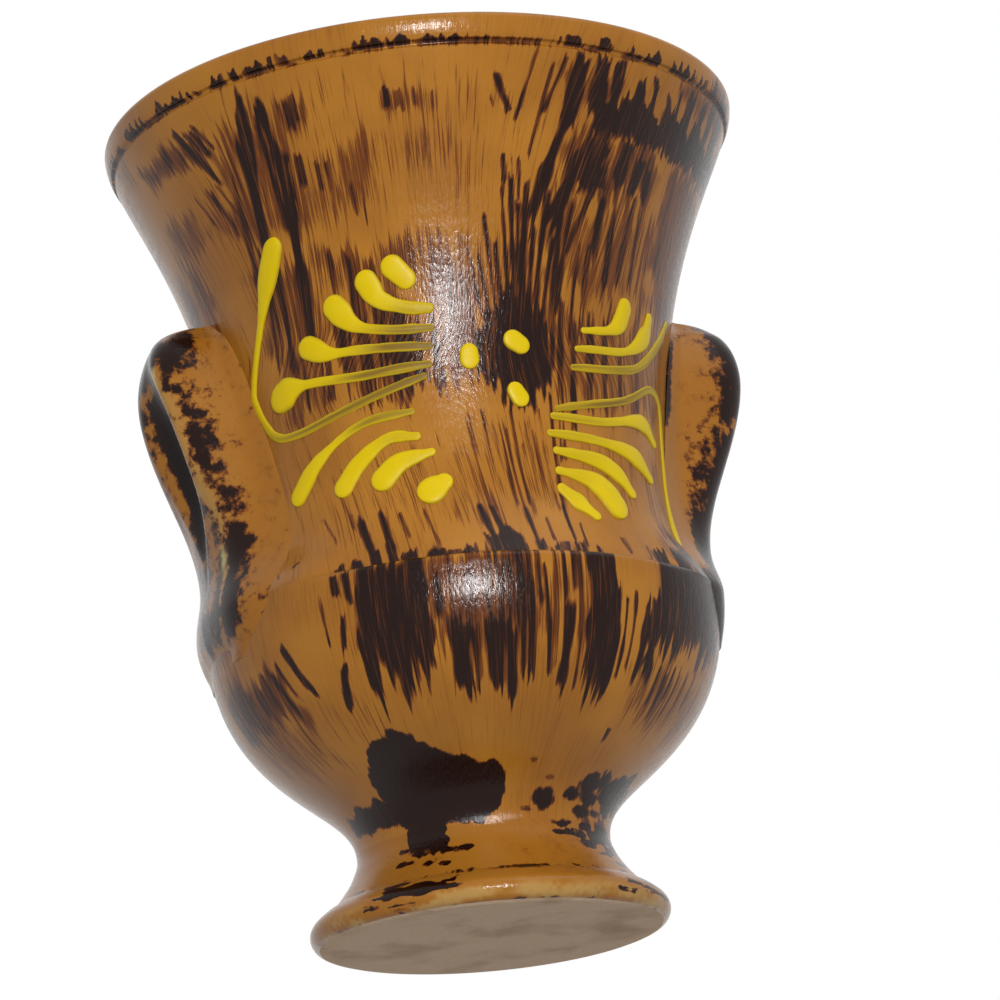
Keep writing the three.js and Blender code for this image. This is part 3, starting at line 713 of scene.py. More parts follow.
def creases(angle, height):
    """Wash that lodges in the groove under the rim, above the bead of the foot and round its underside"""
    patchy = 0.6 * ripple(angle / 4, 51) + 0.4 * noise(angle / 1.1, height / 0.8, 52)
    groove = smooth(1.1, 0.3, abs(height - GROOVE_FOOT - RIM_GROOVE_HEIGHT / 2))
    bead = smooth(0.9, 0.2, abs(height - BEAD_HEIGHT))
    base = smooth(1.1, 0.3, height) * (height > UNDERSIDE)
    lodged = (GROOVE_LOAD * groove + BASE_LOAD * base) * smooth(0.35, 0.7, patchy)
    return lodged + BEAD_LOAD * bead * smooth(0.4, 0.7, patchy)


def paint_wall(piece, veils, strokes, dabs):
    """Lays the wash on the outside of a turned piece"""
    angle, radius, height = wall_places(piece)
    outside = radius > wall_radius(height) - WALL / 2
    wash = brushed(angle, height, veils, strokes, dabs) * outside
    lodged = np.maximum(creases(angle, height), rim_marks(angle, height))
    write_field(piece, "wash", np.maximum(wash, lodged * outside))
    lines = piece.data.attributes.new("lines", "FLOAT_VECTOR", "POINT")
    lines.data.foreach_set("vector", on_wall(brush_lines(angle, height), 1, height * MM).ravel())


# How much of the rubbed colour shows on the foot's edge
FOOT_WEAR = 0.22


def wear_foot(foot):
    """Rubs the lower face of the foot's edge, where the glaze is thin"""
    angle, radius, height = wall_places(foot)
    patchy = 0.7 * noise(angle / 9 + 40, height / 2, 61) + 0.3 * noise(angle / 1.3 + 40, height / 0.7, 62)
    write_field(foot, "wear_and_ridge_sheen", FOOT_WEAR * smooth(0.3, 0.75, patchy) * smooth(5, 1.5, height))


# Slip motif: the panel that its strokes are measured on, their section, with the width at which
# they stand out in full, their rounded ends, the share at which they are drawn out in full, and how
# point and tail narrow
MOTIF_MIDDLE = 101
MOTIF_HALF_HEIGHT = 32
MOTIF_HALF_ANGLE = 67.96
SLIP_RELIEF = 0.65
SLIP_SINK = 0.2
SLIP_STEP = 0.5
SLIP_FULL_WIDTH = 6.0
SLIP_ARCH_POINTS = 13
SLIP_UNEVEN = 0.14
SLIP_UNEVEN_LENGTH = 2.2
SLIP_END_TURNS = np.radians([86, 70, 54, 38, 22, 8])
SLIP_DRAWN_END = 0.75
POINT_LENGTH = 6
TAIL_TAPER = 4.0
TAIL_PINCH = 0.25

# Strokes from head to tail: widths, distance over which the head narrows, how pointed the head is,
# where fading of the tail starts and how strong it is, and a path in percent of the panel's half
# angle and half height
SLIP_STROKES = {
    "hook_left": (5.4, 1.8, 15, 0.1, 0.3, 0.85, [
        (-76, 99), (-88, 64), (-100, 28), (-101, 14), (-93, -9), (-80, -14), (-59, -8), (-27, 5)]),
    "frond_upper_left_1": (4.7, 3.6, 8, 0, 0.3, 0.05, [(-34.2, 73.4), (-30, 65)]),
    "frond_upper_left_2": (4.5, 2.7, 9, 0, 0.3, 0.35, [(-44, 67), (-40, 55), (-31, 48), (-23, 46)]),
    "frond_upper_left_3": (4.9, 2, 9, 0, 0.2, 0.9, [(-57, 56), (-50, 42), (-38, 36), (-23, 34)]),
    "frond_upper_left_4": (5, 1.9, 8, 0, 0.2, 0.9, [(-70, 36), (-62, 29), (-50, 27), (-24, 23)]),
    "frond_upper_left_5": (6.5, 2, 7, 0, 0.2, 0.9, [
        (-86, 12), (-79, 14.6), (-70, 14), (-50, 11), (-25, 12)]),
    "frond_lower_left_1": (4.6, 1.8, 13, 0.1, 0.4, 0.7, [(-83, -53), (-72, -35), (-53, -19), (-33, -16)]),
    "frond_lower_left_2": (4.4, 2.4, 14, 0.1, 0.4, 0.25, [(-62, -56), (-55, -43), (-43, -31), (-32, -32)]),
    "frond_lower_left_3": (5.2, 2.4, 11, 0.1, 0.4, 0.1, [(-46, -56), (-39, -47), (-27, -43)]),
    "dot_lower_left": (5.3, 3.4, 4, 0, 0.3, 0, [(-28.5, -68), (-23.5, -63)]),
    "dot_centre_left": (3.9, 3.9, 4, 0, 0.3, 0, [(-10, 17), (-10, 13)]),
    "dot_centre_upper": (3.9, 3.7, 4, 0, 0.3, 0, [(6.7, 24.5), (9.4, 21.5)]),
    "dot_centre_lower": (3.6, 3.4, 4, 0, 0.3, 0, [(6.4, -7), (8, -11.5)]),
    "frond_upper_right_1": (5.4, 1.7, 9, 0.25, 0.3, 0.1, [(57, 54), (54, 43), (48, 37), (36, 34)]),
    "frond_upper_right_2": (5, 1.7, 14, 0.5, 0.3, 0.3, [(74, 54), (71, 41), (58, 27), (33, 22)]),
    "frond_upper_right_3": (2.2, 1.7, 30, 0.3, -0.6, 0.75, [
        (93, 60), (86, 45), (68, 21), (50, 13), (31, 10)]),
    "scroll_right": (3.2, 1.7, 10, 0.1, 0, 0.8, [
        (84, -89), (89, -56), (90, -20), (88, 4), (77, 10), (56, -5), (23, -17)]),
    "frond_lower_right_1": (3.8, 1.9, 16, 0.5, 0.3, 0.45, [(79, -24), (68, -15), (43, -22), (21, -22)]),
    "frond_lower_right_2": (4.2, 2, 18, 0.5, 0.3, 0.45, [(72, -50), (61, -39), (43, -35), (19, -33)]),
    "frond_lower_right_3": (4.2, 2.1, 20, 0.5, 0.3, 0.25, [(56, -65), (50, -55), (40, -48), (21, -44)]),
    "frond_lower_right_4": (6, 2.3, 14, 0, 0.3, 0.2, [(45, -77), (41, -68), (34, -61), (21, -57)]),
    "frond_lower_right_5": (4.2, 2.6, 12, 0.5, 0.3, 0.15, [(33, -86), (28, -79), (21, -69)]),
}


def on_cup(across, height, lift):
    """Points over the cup's wall, from millimetres along it, height and lift off it"""
    radius = wall_radius(height)
    lean = wall_radius(height + 0.5) - wall_radius(height - 0.5)
    out = lift / np.hypot(1, lean)
    return on_wall(np.degrees(across / radius), radius + out, height - out * lean)


def lofted(name, rings):
    """A closed piece from rings of points, with its ends filled"""
    count = len(rings[0])
    faces = ring_faces(len(rings), count, False) + end_faces(len(rings), count)
    return mesh_piece(name, np.vstack(rings), faces)


def slip_piece(name, head, tail, narrowing, point, fade_start, fade, path):
    """One bead of slip: a rounded head drawn out to its tail"""
    points = []
    for across, up in path:
        height = MOTIF_MIDDLE + MOTIF_HALF_HEIGHT * up / 100
        points.append((math.radians(MOTIF_HALF_ANGLE * across / 100) * wall_radius(height), height))
    line = through(points, SLIP_STEP)
    ahead = np.gradient(line, axis=0)
    ahead /= np.hypot(*ahead.T)[:, None]
    done = lengths(line)
    width = head + (tail - head) * smooth(0.15, 1, done / narrowing)
    grain_seed = 1000 + round(10 * path[0][1])
    width *= 1 + SLIP_UNEVEN * (ripple(done / SLIP_UNEVEN_LENGTH, grain_seed) - 0.5)
    width *= 1 - point * smooth(POINT_LENGTH, 0, done)
    width *= 1 - TAIL_PINCH * smooth(TAIL_TAPER, 0, done[-1] - done) * (done[-1] > 2 * TAIL_TAPER)
    drawn = fade * smooth(fade_start, SLIP_DRAWN_END, done / done[-1])
    over = np.radians(np.linspace(180, 0, SLIP_ARCH_POINTS))
    side = np.r_[np.cos(over), 0.5, -0.5]
    up = np.r_[np.sin(over) ** 0.5, 0, 0]
    core = 1 - 0.8 * abs(side) ** 3
    rings = []
    drawn_and_edge_shade = []

    def add(index, past, share):
        half = width[index] / 2
        middle = line[index] + ahead[index] * past * half
        relief = SLIP_RELIEF * math.sqrt(width[index] / SLIP_FULL_WIDTH * share) * (1 - 0.5 * drawn[index])
        x = middle[0] - ahead[index][1] * side * half * share
        y = middle[1] + ahead[index][0] * side * half * share
        rings.append(on_cup(x, y, up * (relief + SLIP_SINK) - SLIP_SINK))
        thin = 0.6 + 0.9 * noise(side * half / 0.35 + 9, done[index] / 9 + 0 * side, grain_seed)
        # The drawn share of the slip, and painted shade that darkens the edges of the bead
        drawn_and_edge_shade.append(np.maximum(core * drawn[index] * thin, 0.4 * smooth(0.75, 1, abs(side))))

    for turn in SLIP_END_TURNS:
        add(0, -math.sin(turn), math.cos(turn))
    for index in range(len(line)):
        add(index, 0, 1)
    for turn in SLIP_END_TURNS[::-1]:
        add(len(line) - 1, math.sin(turn), math.cos(turn))
    piece = lofted("slip_" + name + "_bead", rings)
    write_field(piece, "drawn", np.concatenate(drawn_and_edge_shade))
    return piece


# Handles: top and reach from the frame, the run of the back, how deep edges and back sit in the wall,
# and the fineness of the mesh
HANDLE_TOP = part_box("handle_right")[1].z / MM
HANDLE_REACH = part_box("handle_right")[1].x / MM
CROWN_DROP = 10
NECK_RISE = 10
ROOT_DROP = 10
TOP_REACH = 9
NOSE_REACH = 6
BACK_REACH = 14
ROOT_REACH = 4
ROOT_FLARE = 0.9
CROWN_LIFT = 2
TURN_CUT = 0.6
FILLET_SPREAD = 1.1
EDGE_SINK = 0.3
BACK_SINK = 1.5
LEAST_RELIEF = 0.02
HANDLE_STEP = 0.8
HANDLE_POINTS = 96
SECTION_SAMPLES = 241
BACK_SAMPLES = 80

# Heights, and the handle's half width, how round its section is, the fillet at the wall,
# the rolls on both sides of the channel, and the channel's half width and depth there
HANDLE_LEVELS = [54, 58, 62, 66, 72, 78, 85, 92, 99, 106, 112, 116, 121, 124.6, 125.8]
HANDLE_HALF_WIDTH = [8, 14, 17, 18, 17.6, 17, 16, 15.2, 14.4, 13.4, 12.6, 11.8, 10.2, 7.6, 4.6]
HANDLE_ROUNDNESS = [1, 1, 1, 0.95, 0.85, 0.76, 0.66, 0.58, 0.52, 0.48, 0.46, 0.48, 0.56, 0.7, 0.9]
HANDLE_FILLET = [6, 7, 8, 8, 7, 6, 5, 4.4, 3.8, 3.2, 3, 2.8, 2.4, 1.8, 1.2]
HANDLE_ROLL = [0, 0, 0, 0, 0, 0.2, 0.6, 1, 1.2, 1.2, 1.1, 0.9, 0.4, 0, 0]
CHANNEL_HALF_WIDTH = [1, 1, 1, 1, 1, 1.8, 5.2, 8, 9.2, 9.2, 8, 5.8, 2.2, 1, 1]
CHANNEL_DEPTH = [0, 0, 0, 0, 0, 0.3, 2.4, 4.8, 5.6, 5.0, 2.6, 0.8, 0, 0, 0]
ROLL_PLACE = 0.74
ROLL_BREADTH = 3.4

# Heights on a handle where something about it comes and goes
TURNED = (64, 84, 112, 122)
JOINT = (96, 104, 117, 123)
BARE_SIDE = (60, 70, 84, 96)
WORN_SIDE = (60, 70, 108, 116)
FAR_SIDE = (116, 106)
ROOT_SHADE = (110, 94)
ROOT_WASH = (88, 72)
ROOT_FOOT = (72, 62)
ROOT_EDGE = (55, 64)
GLINTS = (70, 76)
CROWN_PATCH = 120.5
CROWN_WORN = 114
HANDLE_TINT = 0.08


def handle_back(neck_projection, root_overhang):
    """Radius and height along the back, from the top at the wall down to the root"""
    neck_height = SHOULDER_HEIGHT + NECK_RISE
    foot_height = SHOULDER_HEIGHT - ROOT_DROP
    top, crown, neck, root, foot = np.array([
        (wall_radius(HANDLE_TOP), HANDLE_TOP),
        (HANDLE_REACH, HANDLE_TOP - CROWN_DROP),
        (wall_radius(neck_height) + neck_projection, neck_height),
        (SHOULDER_RADIUS + root_overhang, SHOULDER_HEIGHT),
        (wall_radius(foot_height) - EDGE_SINK, foot_height),
    ])
    runs = [
        (top, top + [TOP_REACH, CROWN_LIFT], crown + [0, NOSE_REACH + CROWN_LIFT], crown),
        (crown, crown - [0, BACK_REACH], neck + [0, BACK_REACH], neck),
        (neck, neck - [0, ROOT_REACH], root + [0, ROOT_REACH], root),
        (root, root - [0, ROOT_REACH], foot + [ROOT_FLARE, ROOT_REACH], foot),
    ]
    return spaced(np.vstack([top] + [bezier(*run, BACK_SAMPLES)[1:] for run in runs]), HANDLE_STEP)


def level(values, height):
    """A handle's measure at a height, eased between the levels"""
    around = [np.interp(height + shift, HANDLE_LEVELS, values) for shift in (-2, -1, 0, 1, 2)]
    return float(np.mean(around))


def handle_wall(height):
    """Radius of the wall under a handle, with the ledge of the shoulder filled"""
    if SHOULDER_CENTRE[1] < height < SHOULDER_HEIGHT:
        return SHOULDER_RADIUS
    ledge = SHOULDER_LEDGE * smooth(FILL_TOP, SHOULDER_HEIGHT, height) * (height >= SHOULDER_HEIGHT)
    return wall_radius(height) + ledge


def handle_section(radius, height, turned_by):
    """Points across a handle at one level: radius, place across, how far they stand out, and dip"""
    half = level(HANDLE_HALF_WIDTH, height)
    fillet = level(HANDLE_FILLET, height)
    roundness = level(HANDLE_ROUNDNESS, height)
    wall = handle_wall(height)
    turn = np.radians(np.linspace(-90, 90, SECTION_SAMPLES))
    across = half * np.sign(np.sin(turn)) * abs(np.sin(turn)) ** roundness
    share = np.clip(np.cos(turn), 0, 1) ** roundness
    stands = share * (radius - np.sqrt(wall ** 2 - across ** 2))
    stands -= TURN_CUT * turned_by * share * smooth(3, 13, across) * span(height, *TURNED)
    stands += level(HANDLE_ROLL, height) * hump(abs(across), ROLL_PLACE * half, ROLL_BREADTH)
    across += np.sign(across) * FILLET_SPREAD * fillet * (1 - np.clip(stands / (2 * fillet), 0, 1)) ** 5
    from_middle = np.clip((across - turned_by) / level(CHANNEL_HALF_WIDTH, height), -1, 1)
    dip = level(CHANNEL_DEPTH, height) * np.cos(from_middle * math.pi / 2) ** 1.5
    out = np.sqrt(wall ** 2 - across ** 2) + stands - dip - EDGE_SINK * np.clip(1 - stands, 0, 1)
    front = resampled(np.stack([out, across, share, dip], -1), HANDLE_POINTS)
    inner = front[::-8, 1]
    behind = np.stack([np.sqrt(wall ** 2 - inner ** 2) - BACK_SINK, inner, 0 * inner, 0 * inner], -1)
    return np.vstack([front, behind])


def handle_look(front, across, share, dip, z, seed, edge, root, worn):
    """Wash on one level of a handle, the glints painted as highlights on its ridge, and where its glaze is
    worn, which along the ridge is partly painted highlight

    Edge and root say how strong the wash is where the handle stands out and at its root.
    """
    up = z + 0 * across
    patchy = 0.55 * noise(across / 5 + 20, up / 6, seed)
    patchy += 0.45 * noise(across / 2.1 + 20, up / 2.6, seed + 1)
    # The far flank is kept lighter lower down, as painted light where light reaches into the channel
    far = smooth(0, 5, -front) * smooth(*FAR_SIDE, z)
    ridge = front - ROLL_PLACE * level(HANDLE_HALF_WIDTH, z)
    # Mottled wash where the handle stands out, worn off the ridge and under the crown
    spread = smooth(0.3 - 0.14 * worn, 0.95 - 0.14 * worn, share)
    wash = edge * spread * (0.45 + 1.5 * (patchy - 0.27)) * (1 - 0.7 * far)
    wash *= 1 - worn * np.maximum(0.8 * hump(ridge, 0, 1.5), 0.7 * hump(z, CROWN_WORN, 2.2))
    # A patch on the crown, the channel, the dark root, and the joint at the wall
    wash += 0.75 * hump(z, CROWN_PATCH, 3.4) * hump(front, 3, 5.5)
    # Dark in the channel: wash pooled in the hollow, and partly painted shade
    wash += smooth(1.2, 2.8, dip) * (1 - 0.25 * far)
    wash = np.maximum(wash, 0.5 * root * smooth(*ROOT_SHADE, z) * smooth(0.12, 0.5, share))
    low = np.maximum(smooth(*ROOT_WASH, z) * smooth(0.2, 0.6, share), smooth(*ROOT_FOOT, z))
    wash += root * low * (1 - 0.6 * far) * (0.5 + patchy)
    wash += 0.6 * root * smooth(0.07, 0.02, share) * (front > 0) * span(z, *JOINT)
    wash += HANDLE_TINT
    # Bare where the root runs out, and on the worn side
    wash *= np.maximum(root * smooth(2, 10, front), smooth(*ROOT_EDGE, z))
    wash *= 1 - 0.75 * worn * hump(front, 7.5, 4) * span(z, *BARE_SIDE)
    # Painted highlight: pale glints along the crest of the ridge
    glints = smooth(0.45, 0.85, ripple(up / 5, seed + 2)) * smooth(*GLINTS, z)
    painted_ridge_glint = hump(ridge, -1.2, 0.8) * glints * (0.45 + 0.6 * noise(up / 0.9, across / 0.4 + 20, seed + 3))
    # A pale tint along the ridge, partly wear and partly painted highlight
    wear_and_ridge_sheen = 0.14 * worn * hump(ridge, 0, 2.4) * span(z, *WORN_SIDE)
    return np.clip(wash, 0, 1), painted_ridge_glint, wear_and_ridge_sheen


def handle_piece(name, side, neck_projection, root_overhang, turned_by, **look):
    """A lug handle on +X or -X, with its mottled wash, and the painted highlights and wear on its ridge"""
    rings = []
    looks = []
    for radius, height in handle_back(neck_projection, root_overhang):
        section = handle_section(max(radius, handle_wall(height) + LEAST_RELIEF), height, turned_by)
        out, across, share, dip = section.T
        rings.append(np.stack([side * out, side * across, height + 0 * out], -1))
        looks.append(handle_look(-side * across, across, share, dip, height, **look))
    piece = lofted(name, rings)
    for field, values in zip(("wash", "painted_ridge_glint", "wear_and_ridge_sheen"), zip(*looks)):
        write_field(piece, field, np.concatenate(values))
    return piece


# Camera at the photograph's view: low on the left of the motif, looking up, rolled a little
CAMERA_AZIMUTH = -14.5
CAMERA_DISTANCE = 0.9045
CAMERA_HEIGHT = -0.1843
CAMERA_YAW = 0.62
CAMERA_PITCH = 16.85
CAMERA_ROLL = -5.49
CAMERA_LENS = 168.2
CAMERA_NEAR = 0.01


def add_camera():
    """The camera of the photograph"""
    data = bpy.data.cameras.new("camera")
    data.lens = CAMERA_LENS
    data.clip_start = CAMERA_NEAR
    camera = placed("camera", data)
    camera.matrix_world = (
        Matrix.Rotation(math.radians(CAMERA_AZIMUTH), 4, "Z")
        @ Matrix.Translation((0, -CAMERA_DISTANCE, CAMERA_HEIGHT))
        @ Matrix.Rotation(math.radians(-CAMERA_YAW), 4, "Z")
        @ Matrix.Rotation(math.radians(90 + CAMERA_PITCH), 4, "X")
        @ Matrix.Rotation(math.radians(CAMERA_ROLL), 4, "Z")
    )
    bpy.context.scene.camera = camera


class Nodes:
    """The nodes of a material or of the world"""

    def __init__(self, owner):
        owner.use_nodes = True
        self.owner = owner
        self.tree = owner.node_tree
        self.tree.nodes.clear()

    def node(self, kind, settings=None, output=0, **inputs):
        """An output of a node with settings, whose inputs, by name or number, are values or outputs"""
        made = self.tree.nodes.new(kind)
        for key, value in (settings or {}).items():
            setattr(made, key, value)
        for key, value in inputs.items():
            socket = made.inputs[int(key[1:]) if key[1:].isdigit() else key.replace("_", " ")]
            if isinstance(value, bpy.types.NodeSocket):
                self.tree.links.new(value, socket)
            else:
                socket.default_value = value
        return made.outputs[output]

    def done(self, kind, surface):
        """The material or the world, with this surface shown"""
        shown = self.tree.nodes.new(kind)
        self.tree.links.new(surface, shown.inputs["Surface"])
        return self.owner

    def math(self, operation, *values):
        """The result of an operation on numbers"""
        inputs = {f"i{i}": value for i, value in enumerate(values)}
        return self.node("ShaderNodeMath", {"operation": operation}, **inputs)

    def mix(self, factor, first, second):
        """A colour between two"""
        return self.node("ShaderNodeMix", {"data_type": "RGBA"}, 2, i0=factor, i6=first, i7=second)

    def step(self, value, low, high, start=0.0, end=1.0):
        """A smooth step from start, where the value is low, to end, where it is high"""
        return self.node(
            "ShaderNodeMapRange", {"interpolation_type": "SMOOTHSTEP"},
            Value=value, From_Min=low, From_Max=high, To_Min=start, To_Max=end)

    def noise(self, vector, scale, detail=2.0, roughness=0.5):
        """Noise from 0 to 1"""
        return self.node(
            "ShaderNodeTexNoise", output="Fac",
            Vector=vector, Scale=scale, Detail=detail, Roughness=roughness)

    def place(self):
        """Place on the object, in metres"""
        return self.node("ShaderNodeTexCoord", output="Object")

    def along_lines(self, grain):
        """Place on a unit cylinder along the brush lines, with heights drawn out by the grain"""
        lines = self.node("ShaderNodeAttribute", {"attribute_name": "lines"}, "Vector")
        return self.node("ShaderNodeVectorMath", {"operation": "MULTIPLY"}, i0=lines, i1=(1, 1, grain))

    def field(self, name):
        """Number that the mesh holds at each vertex"""
        return self.node("ShaderNodeAttribute", {"attribute_name": name}, "Fac")

    def bump(self, height, distance):
        """Normal of a surface with fine grain"""
        return self.node("ShaderNodeBump", Strength=1.0, Distance=distance, Height=height)

    def surface(self, **inputs):
        """The material, finished with a coat of these inputs"""
        return self.done("ShaderNodeOutputMaterial", self.node("ShaderNodeBsdfPrincipled", **inputs))

    def ray(self, kind):
        """1 for rays of a kind, and 0 for others"""
        return self.node("ShaderNodeLightPath", output=kind)


def material(name):
    """Nodes of a new material"""
    return Nodes(bpy.data.materials.new(name))


def rgb(red, green, blue):
    """A colour given as it looks, in steps of 255"""
    def linear(step):
        share = step / 255
        return share / 12.92 if share <= 0.04045 else ((share + 0.055) / 1.055) ** 2.4
    return (linear(red), linear(green), linear(blue), 1)


# Colours, and how much the surfaces mirror and how deep their grain is, in metres
OCHRE = rgb(152, 100, 30)
OCHRE_DEEP = rgb(136, 86, 24)
WASH_THIN = rgb(92, 46, 12)
WASH_THICK = rgb(24, 6, 2)
# Pale colour of worn glaze, also used for the painted highlights on the handles' ridge
PALE_WEAR_AND_GLINT = rgb(206, 192, 128)
CLAY = rgb(190, 164, 138)
CLAY_STAIN = rgb(138, 110, 84)
YELLOW = rgb(190, 163, 0)
YELLOW_PALE = rgb(192, 168, 20)
OLIVE = rgb(112, 86, 26)
FLOOR_LIGHT = rgb(246, 246, 245)
FLOOR_DARK = rgb(240, 240, 239)
GLAZE_SPECULAR = 0.16
GLAZE_GRAIN = 0.00007
CLAY_SPECULAR = 0.2
CLAY_GRAIN = 0.0002
SLIP_SPECULAR = 0.15
SLIP_GRAIN = 0.00006


def streaks(shader):
    """Fine upright streaks that a dry brush leaves, about 0, and the speckle of the glaze over them"""
    fine = shader.noise(shader.along_lines(0.5), 170.0, 3.0, 0.65)
    broad = shader.noise(shader.along_lines(1.2), 55.0, 2.0, 0.6)
    both = shader.math("MULTIPLY_ADD", fine, 2.1, shader.math("MULTIPLY", broad, 1.1))
    return shader.math("SUBTRACT", both, 1.6), shader.noise(shader.along_lines(9.0), 90.0, 2.0)


def mottles(shader):
    """Ragged blotches that a dabbed brush leaves, about 0, and the speckle of the glaze over them"""
    blotch = shader.noise(shader.place(), 420.0, 5.0, 0.65)
    return shader.math("MULTIPLY_ADD", blotch, 3.0, -1.5), shader.noise(shader.place(), 1900.0, 2.0)


def glaze(name, pattern, depth, gain, dryness, stain, thick):
    """Ochre glaze, deepened and stained in clouds, under a wash that a pattern breaks up

    Gain makes the wash stronger and dryness makes it less, and it turns dark between the thick loads.
    """
    shader = material(name)
    grain, fleck = pattern(shader)
    cloud = shader.noise(shader.place(), 40.0, 3.0)
    ground = shader.mix(shader.step(cloud, 0.3, 0.7, depth, 1.0), OCHRE, OCHRE_DEEP)
    ground = shader.mix(
        shader.math("MULTIPLY", shader.step(grain, -0.1, 0.4, 0.0, stain), shader.step(cloud, 0.35, 0.7)),
        ground, WASH_THIN)
    # Worn glaze: wear on the foot's edge, and on the handles' ridge partly painted highlight
    ground = shader.mix(shader.field("wear_and_ridge_sheen"), ground, PALE_WEAR_AND_GLINT)
    load = shader.math("ADD", shader.math("MULTIPLY_ADD", shader.field("wash"), gain, -dryness), grain)
    colour = shader.mix(shader.step(load, 0.0, 0.45), ground, WASH_THIN)
    colour = shader.mix(shader.step(load, *thick), colour, WASH_THICK)
    # Painted highlight: pale glints along the handles' ridge
    colour = shader.mix(shader.field("painted_ridge_glint"), colour, PALE_WEAR_AND_GLINT)
    relief = shader.math("MULTIPLY_ADD", grain, 0.18, fleck)
    return shader.surface(
        Base_Color=colour, Roughness=shader.step(fleck, 0.3, 0.7, 0.13, 0.24),
        Normal=shader.bump(relief, GLAZE_GRAIN), Specular_IOR_Level=GLAZE_SPECULAR)


def bare_clay():
    """Unglazed clay of the underside, stained and pitted"""
    shader = material("bare_clay")
    stain = shader.noise(shader.place(), 60.0, 4.0)
    pits = shader.noise(shader.place(), 900.0, 3.0)
    colour = shader.mix(shader.step(stain, 0.45, 0.72, 0.0, 0.7), CLAY, CLAY_STAIN)
    colour = shader.mix(shader.step(pits, 0.62, 0.75, 0.0, 0.4), colour, CLAY_STAIN)
    return shader.surface(
        Base_Color=colour, Roughness=shader.step(pits, 0.2, 0.8, 0.7, 0.9),
        Normal=shader.bump(pits, CLAY_GRAIN), Specular_IOR_Level=CLAY_SPECULAR)


def slip():
    """Thick yellow slip, thinner and duller where a stroke is drawn out, and darker along the edges of
    each bead as painted shade
    """
    shader = material("yellow_slip")
    blotch = shader.noise(shader.place(), 260.0, 2.0)
    drag = shader.noise(shader.place(), 700.0, 3.0, 0.6)
    colour = shader.mix(shader.step(blotch, 0.35, 0.75, 0.0, 0.5), YELLOW, YELLOW_PALE)
    # Olive where the slip is drawn out thin, and along the bead's edges as painted shade
    colour = shader.mix(shader.field("drawn"), colour, OLIVE)
    return shader.surface(
        Base_Color=colour, Roughness=shader.step(blotch, 0.3, 0.7, 0.34, 0.46),
        Normal=shader.bump(drag, SLIP_GRAIN), Specular_IOR_Level=SLIP_SPECULAR)


# Light of the surroundings, and the floor: its size, how it glows near the vase and far from it,
# how much of it is glow near the vase, and the distances between which it turns all glow
WORLD_LIGHT = 0.42
FLOOR_HALF = 8.0
FLOOR_GLOW = 1.0
GLOW_SHARE = 0.3
FAR_GLOW = 1.1
FADE_START = 0.15
FADE_END = 1.4


def add_stage():
    """A pale floor that is seen from above only, and lets light through to the underside"""
    mesh = bpy.data.meshes.new("floor")
    corners = [(x * FLOOR_HALF, y * FLOOR_HALF, 0) for x, y in ((-1, -1), (1, -1), (1, 1), (-1, 1))]
    mesh.from_pydata(corners, [], [(0, 1, 2, 3)])
    floor = placed("floor", mesh)
    shader = material("floor")
    blotch = shader.noise(shader.place(), 6.0, 2.0)
    colour = shader.mix(blotch, FLOOR_LIGHT, FLOOR_DARK)
    lit = shader.node("ShaderNodeBsdfDiffuse", Color=colour)
    away = shader.node("ShaderNodeVectorMath", {"operation": "LENGTH"}, "Value", i0=shader.place())
    brightness = shader.step(away, FADE_START, FADE_END, FLOOR_GLOW, FAR_GLOW)
    glow = shader.node("ShaderNodeEmission", Color=colour, Strength=brightness)
    share = shader.step(away, FADE_START, FADE_END, GLOW_SHARE, 1.0)
    pale = shader.node("ShaderNodeMixShader", i0=share, i1=lit, i2=glow)
    above = shader.math("SUBTRACT", 1.0, shader.node("ShaderNodeNewGeometry", output="Backfacing"))
    shown = shader.math("MULTIPLY", shader.ray("Is Camera Ray"), above)
    clear = shader.node("ShaderNodeBsdfTransparent")
    mixed = shader.node("ShaderNodeMixShader", i0=shown, i1=clear, i2=pale)
    mesh.materials.append(shader.done("ShaderNodeOutputMaterial", mixed))
    return floor


def add_world():
    """White where the camera or a reflection sees it, and softer as a light"""
    nodes = Nodes(bpy.data.worlds.new("world"))
    seen = nodes.math("MAXIMUM", nodes.ray("Is Camera Ray"), nodes.ray("Is Glossy Ray"))
    seen = nodes.math("MAXIMUM", seen, nodes.ray("Is Transmission Ray"))
    strength = nodes.node("ShaderNodeMapRange", Value=seen, To_Min=WORLD_LIGHT)
    white = nodes.node("ShaderNodeBackground", Color=(1, 1, 1, 1), Strength=strength)
    bpy.context.scene.world = nodes.done("ShaderNodeOutputWorld", white)


def add_lamp(name, azimuth, height, distance, width, tall, power, mirrored=True):
    """A soft lamp facing the middle of the vase, which reflections show where mirrored"""
    data = bpy.data.lights.new(name, "AREA")
    data.shape = "RECTANGLE"
    data.size = width
    data.size_y = tall
    data.energy = power
    lamp = placed(name, data)
    lamp.visible_glossy = mirrored
    turn = math.radians(azimuth)
    middle = Vector((0, 0, VASE_HEIGHT * MM / 2))
    place = Vector((math.sin(turn) * distance, -math.cos(turn) * distance, height))
    facing = (middle - place).to_track_quat("-Z", "Y").to_matrix().to_4x4()
    lamp.matrix_world = Matrix.Translation(place) @ facing
    return lamp


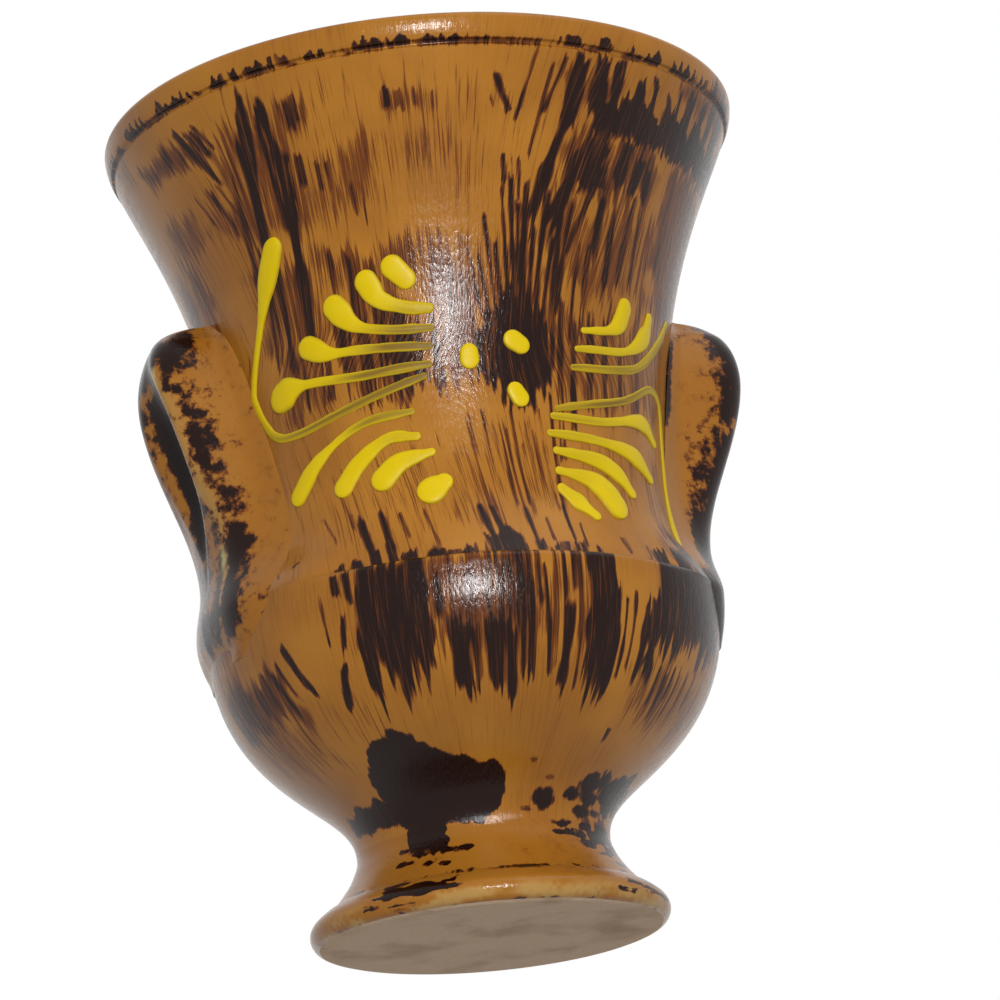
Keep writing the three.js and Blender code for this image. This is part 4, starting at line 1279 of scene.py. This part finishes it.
def add_lights(floor):
    """Front and back lamps that leave the floor alone, and a soft lamp above"""
    front = add_lamp(
        "front_lamp", azimuth=-8, height=0.115, distance=1.0, width=0.098, tall=0.19, power=9.2)
    spared = bpy.data.collections.new("spared")
    spared.objects.link(floor)
    spared.collection_objects[0].light_linking.link_state = "EXCLUDE"
    add_lamp("top_lamp", azimuth=30, height=1.2, distance=0.6, width=1.0, tall=1.0, power=4)
    back = add_lamp(
        "back_lamp", azimuth=172, height=0.5, distance=1.2, width=1.0, tall=1.0, power=9, mirrored=False)
    for lamp in (front, back):
        lamp.light_linking.receiver_collection = spared


# Height under which the foot's faces are bare clay
CLAY_TOP = 0.4


def add_vase():
    """All the pieces of the vase, painted and attached to the root body, with the nodes that they stand
    for hidden
    """
    glazed = glaze(
        "brushed_glaze", streaks, depth=0.0, gain=1.45, dryness=0.38, stain=0.4, thick=(0.45, 1.05))
    dabbed = glaze(
        "dabbed_glaze", mottles, depth=0.7, gain=1.55, dryness=0.45, stain=0.25, thick=(0.25, 0.6))
    clay = bare_clay()
    yellow = slip()
    back = back_strokes()
    foot = turned("foot_piece", foot_outline(), False)
    bowl = turned("bowl_piece", bowl_outline(), True)
    cup = turned("cup_piece", cup_outline(), True)
    veils = VEILS + back_veils()
    dabs = DABS + back_dabs()
    paint_wall(foot, [], FOOT_STROKES, dabs)
    wear_foot(foot)
    paint_wall(bowl, veils, BOWL_STROKES + back, dabs)
    paint_wall(cup, veils, CUP_STROKES + BAND_STROKES + back, dabs)
    finished(foot, "foot", "ochre_glaze", dabbed, clay)
    finished(bowl, "bowl", "brushed_glaze", glazed)
    finished(cup, "cup", "brushed_glaze", glazed)
    for face in foot.data.polygons:
        face.material_index = 1 if face.center.z < CLAY_TOP * MM else 0
    right = handle_piece(
        "handle_right_lug", 1, neck_projection=5, root_overhang=0.1, turned_by=0,
        seed=31, edge=1.1, root=1, worn=0)
    left = handle_piece(
        "handle_left_lug", -1, neck_projection=6, root_overhang=1.5, turned_by=2,
        seed=47, edge=0.95, root=0.2, worn=1)
    finished(right, "handle_right", "ochre_glaze", dabbed)
    finished(left, "handle_left", "ochre_glaze", dabbed)
    for name, stroke in SLIP_STROKES.items():
        finished(slip_piece(name, *stroke), "slip_" + name, "yellow_slip", yellow)


bpy.context.scene.view_settings.view_transform = "Standard"
add_camera()
add_world()
add_lights(add_stage())
add_vase()
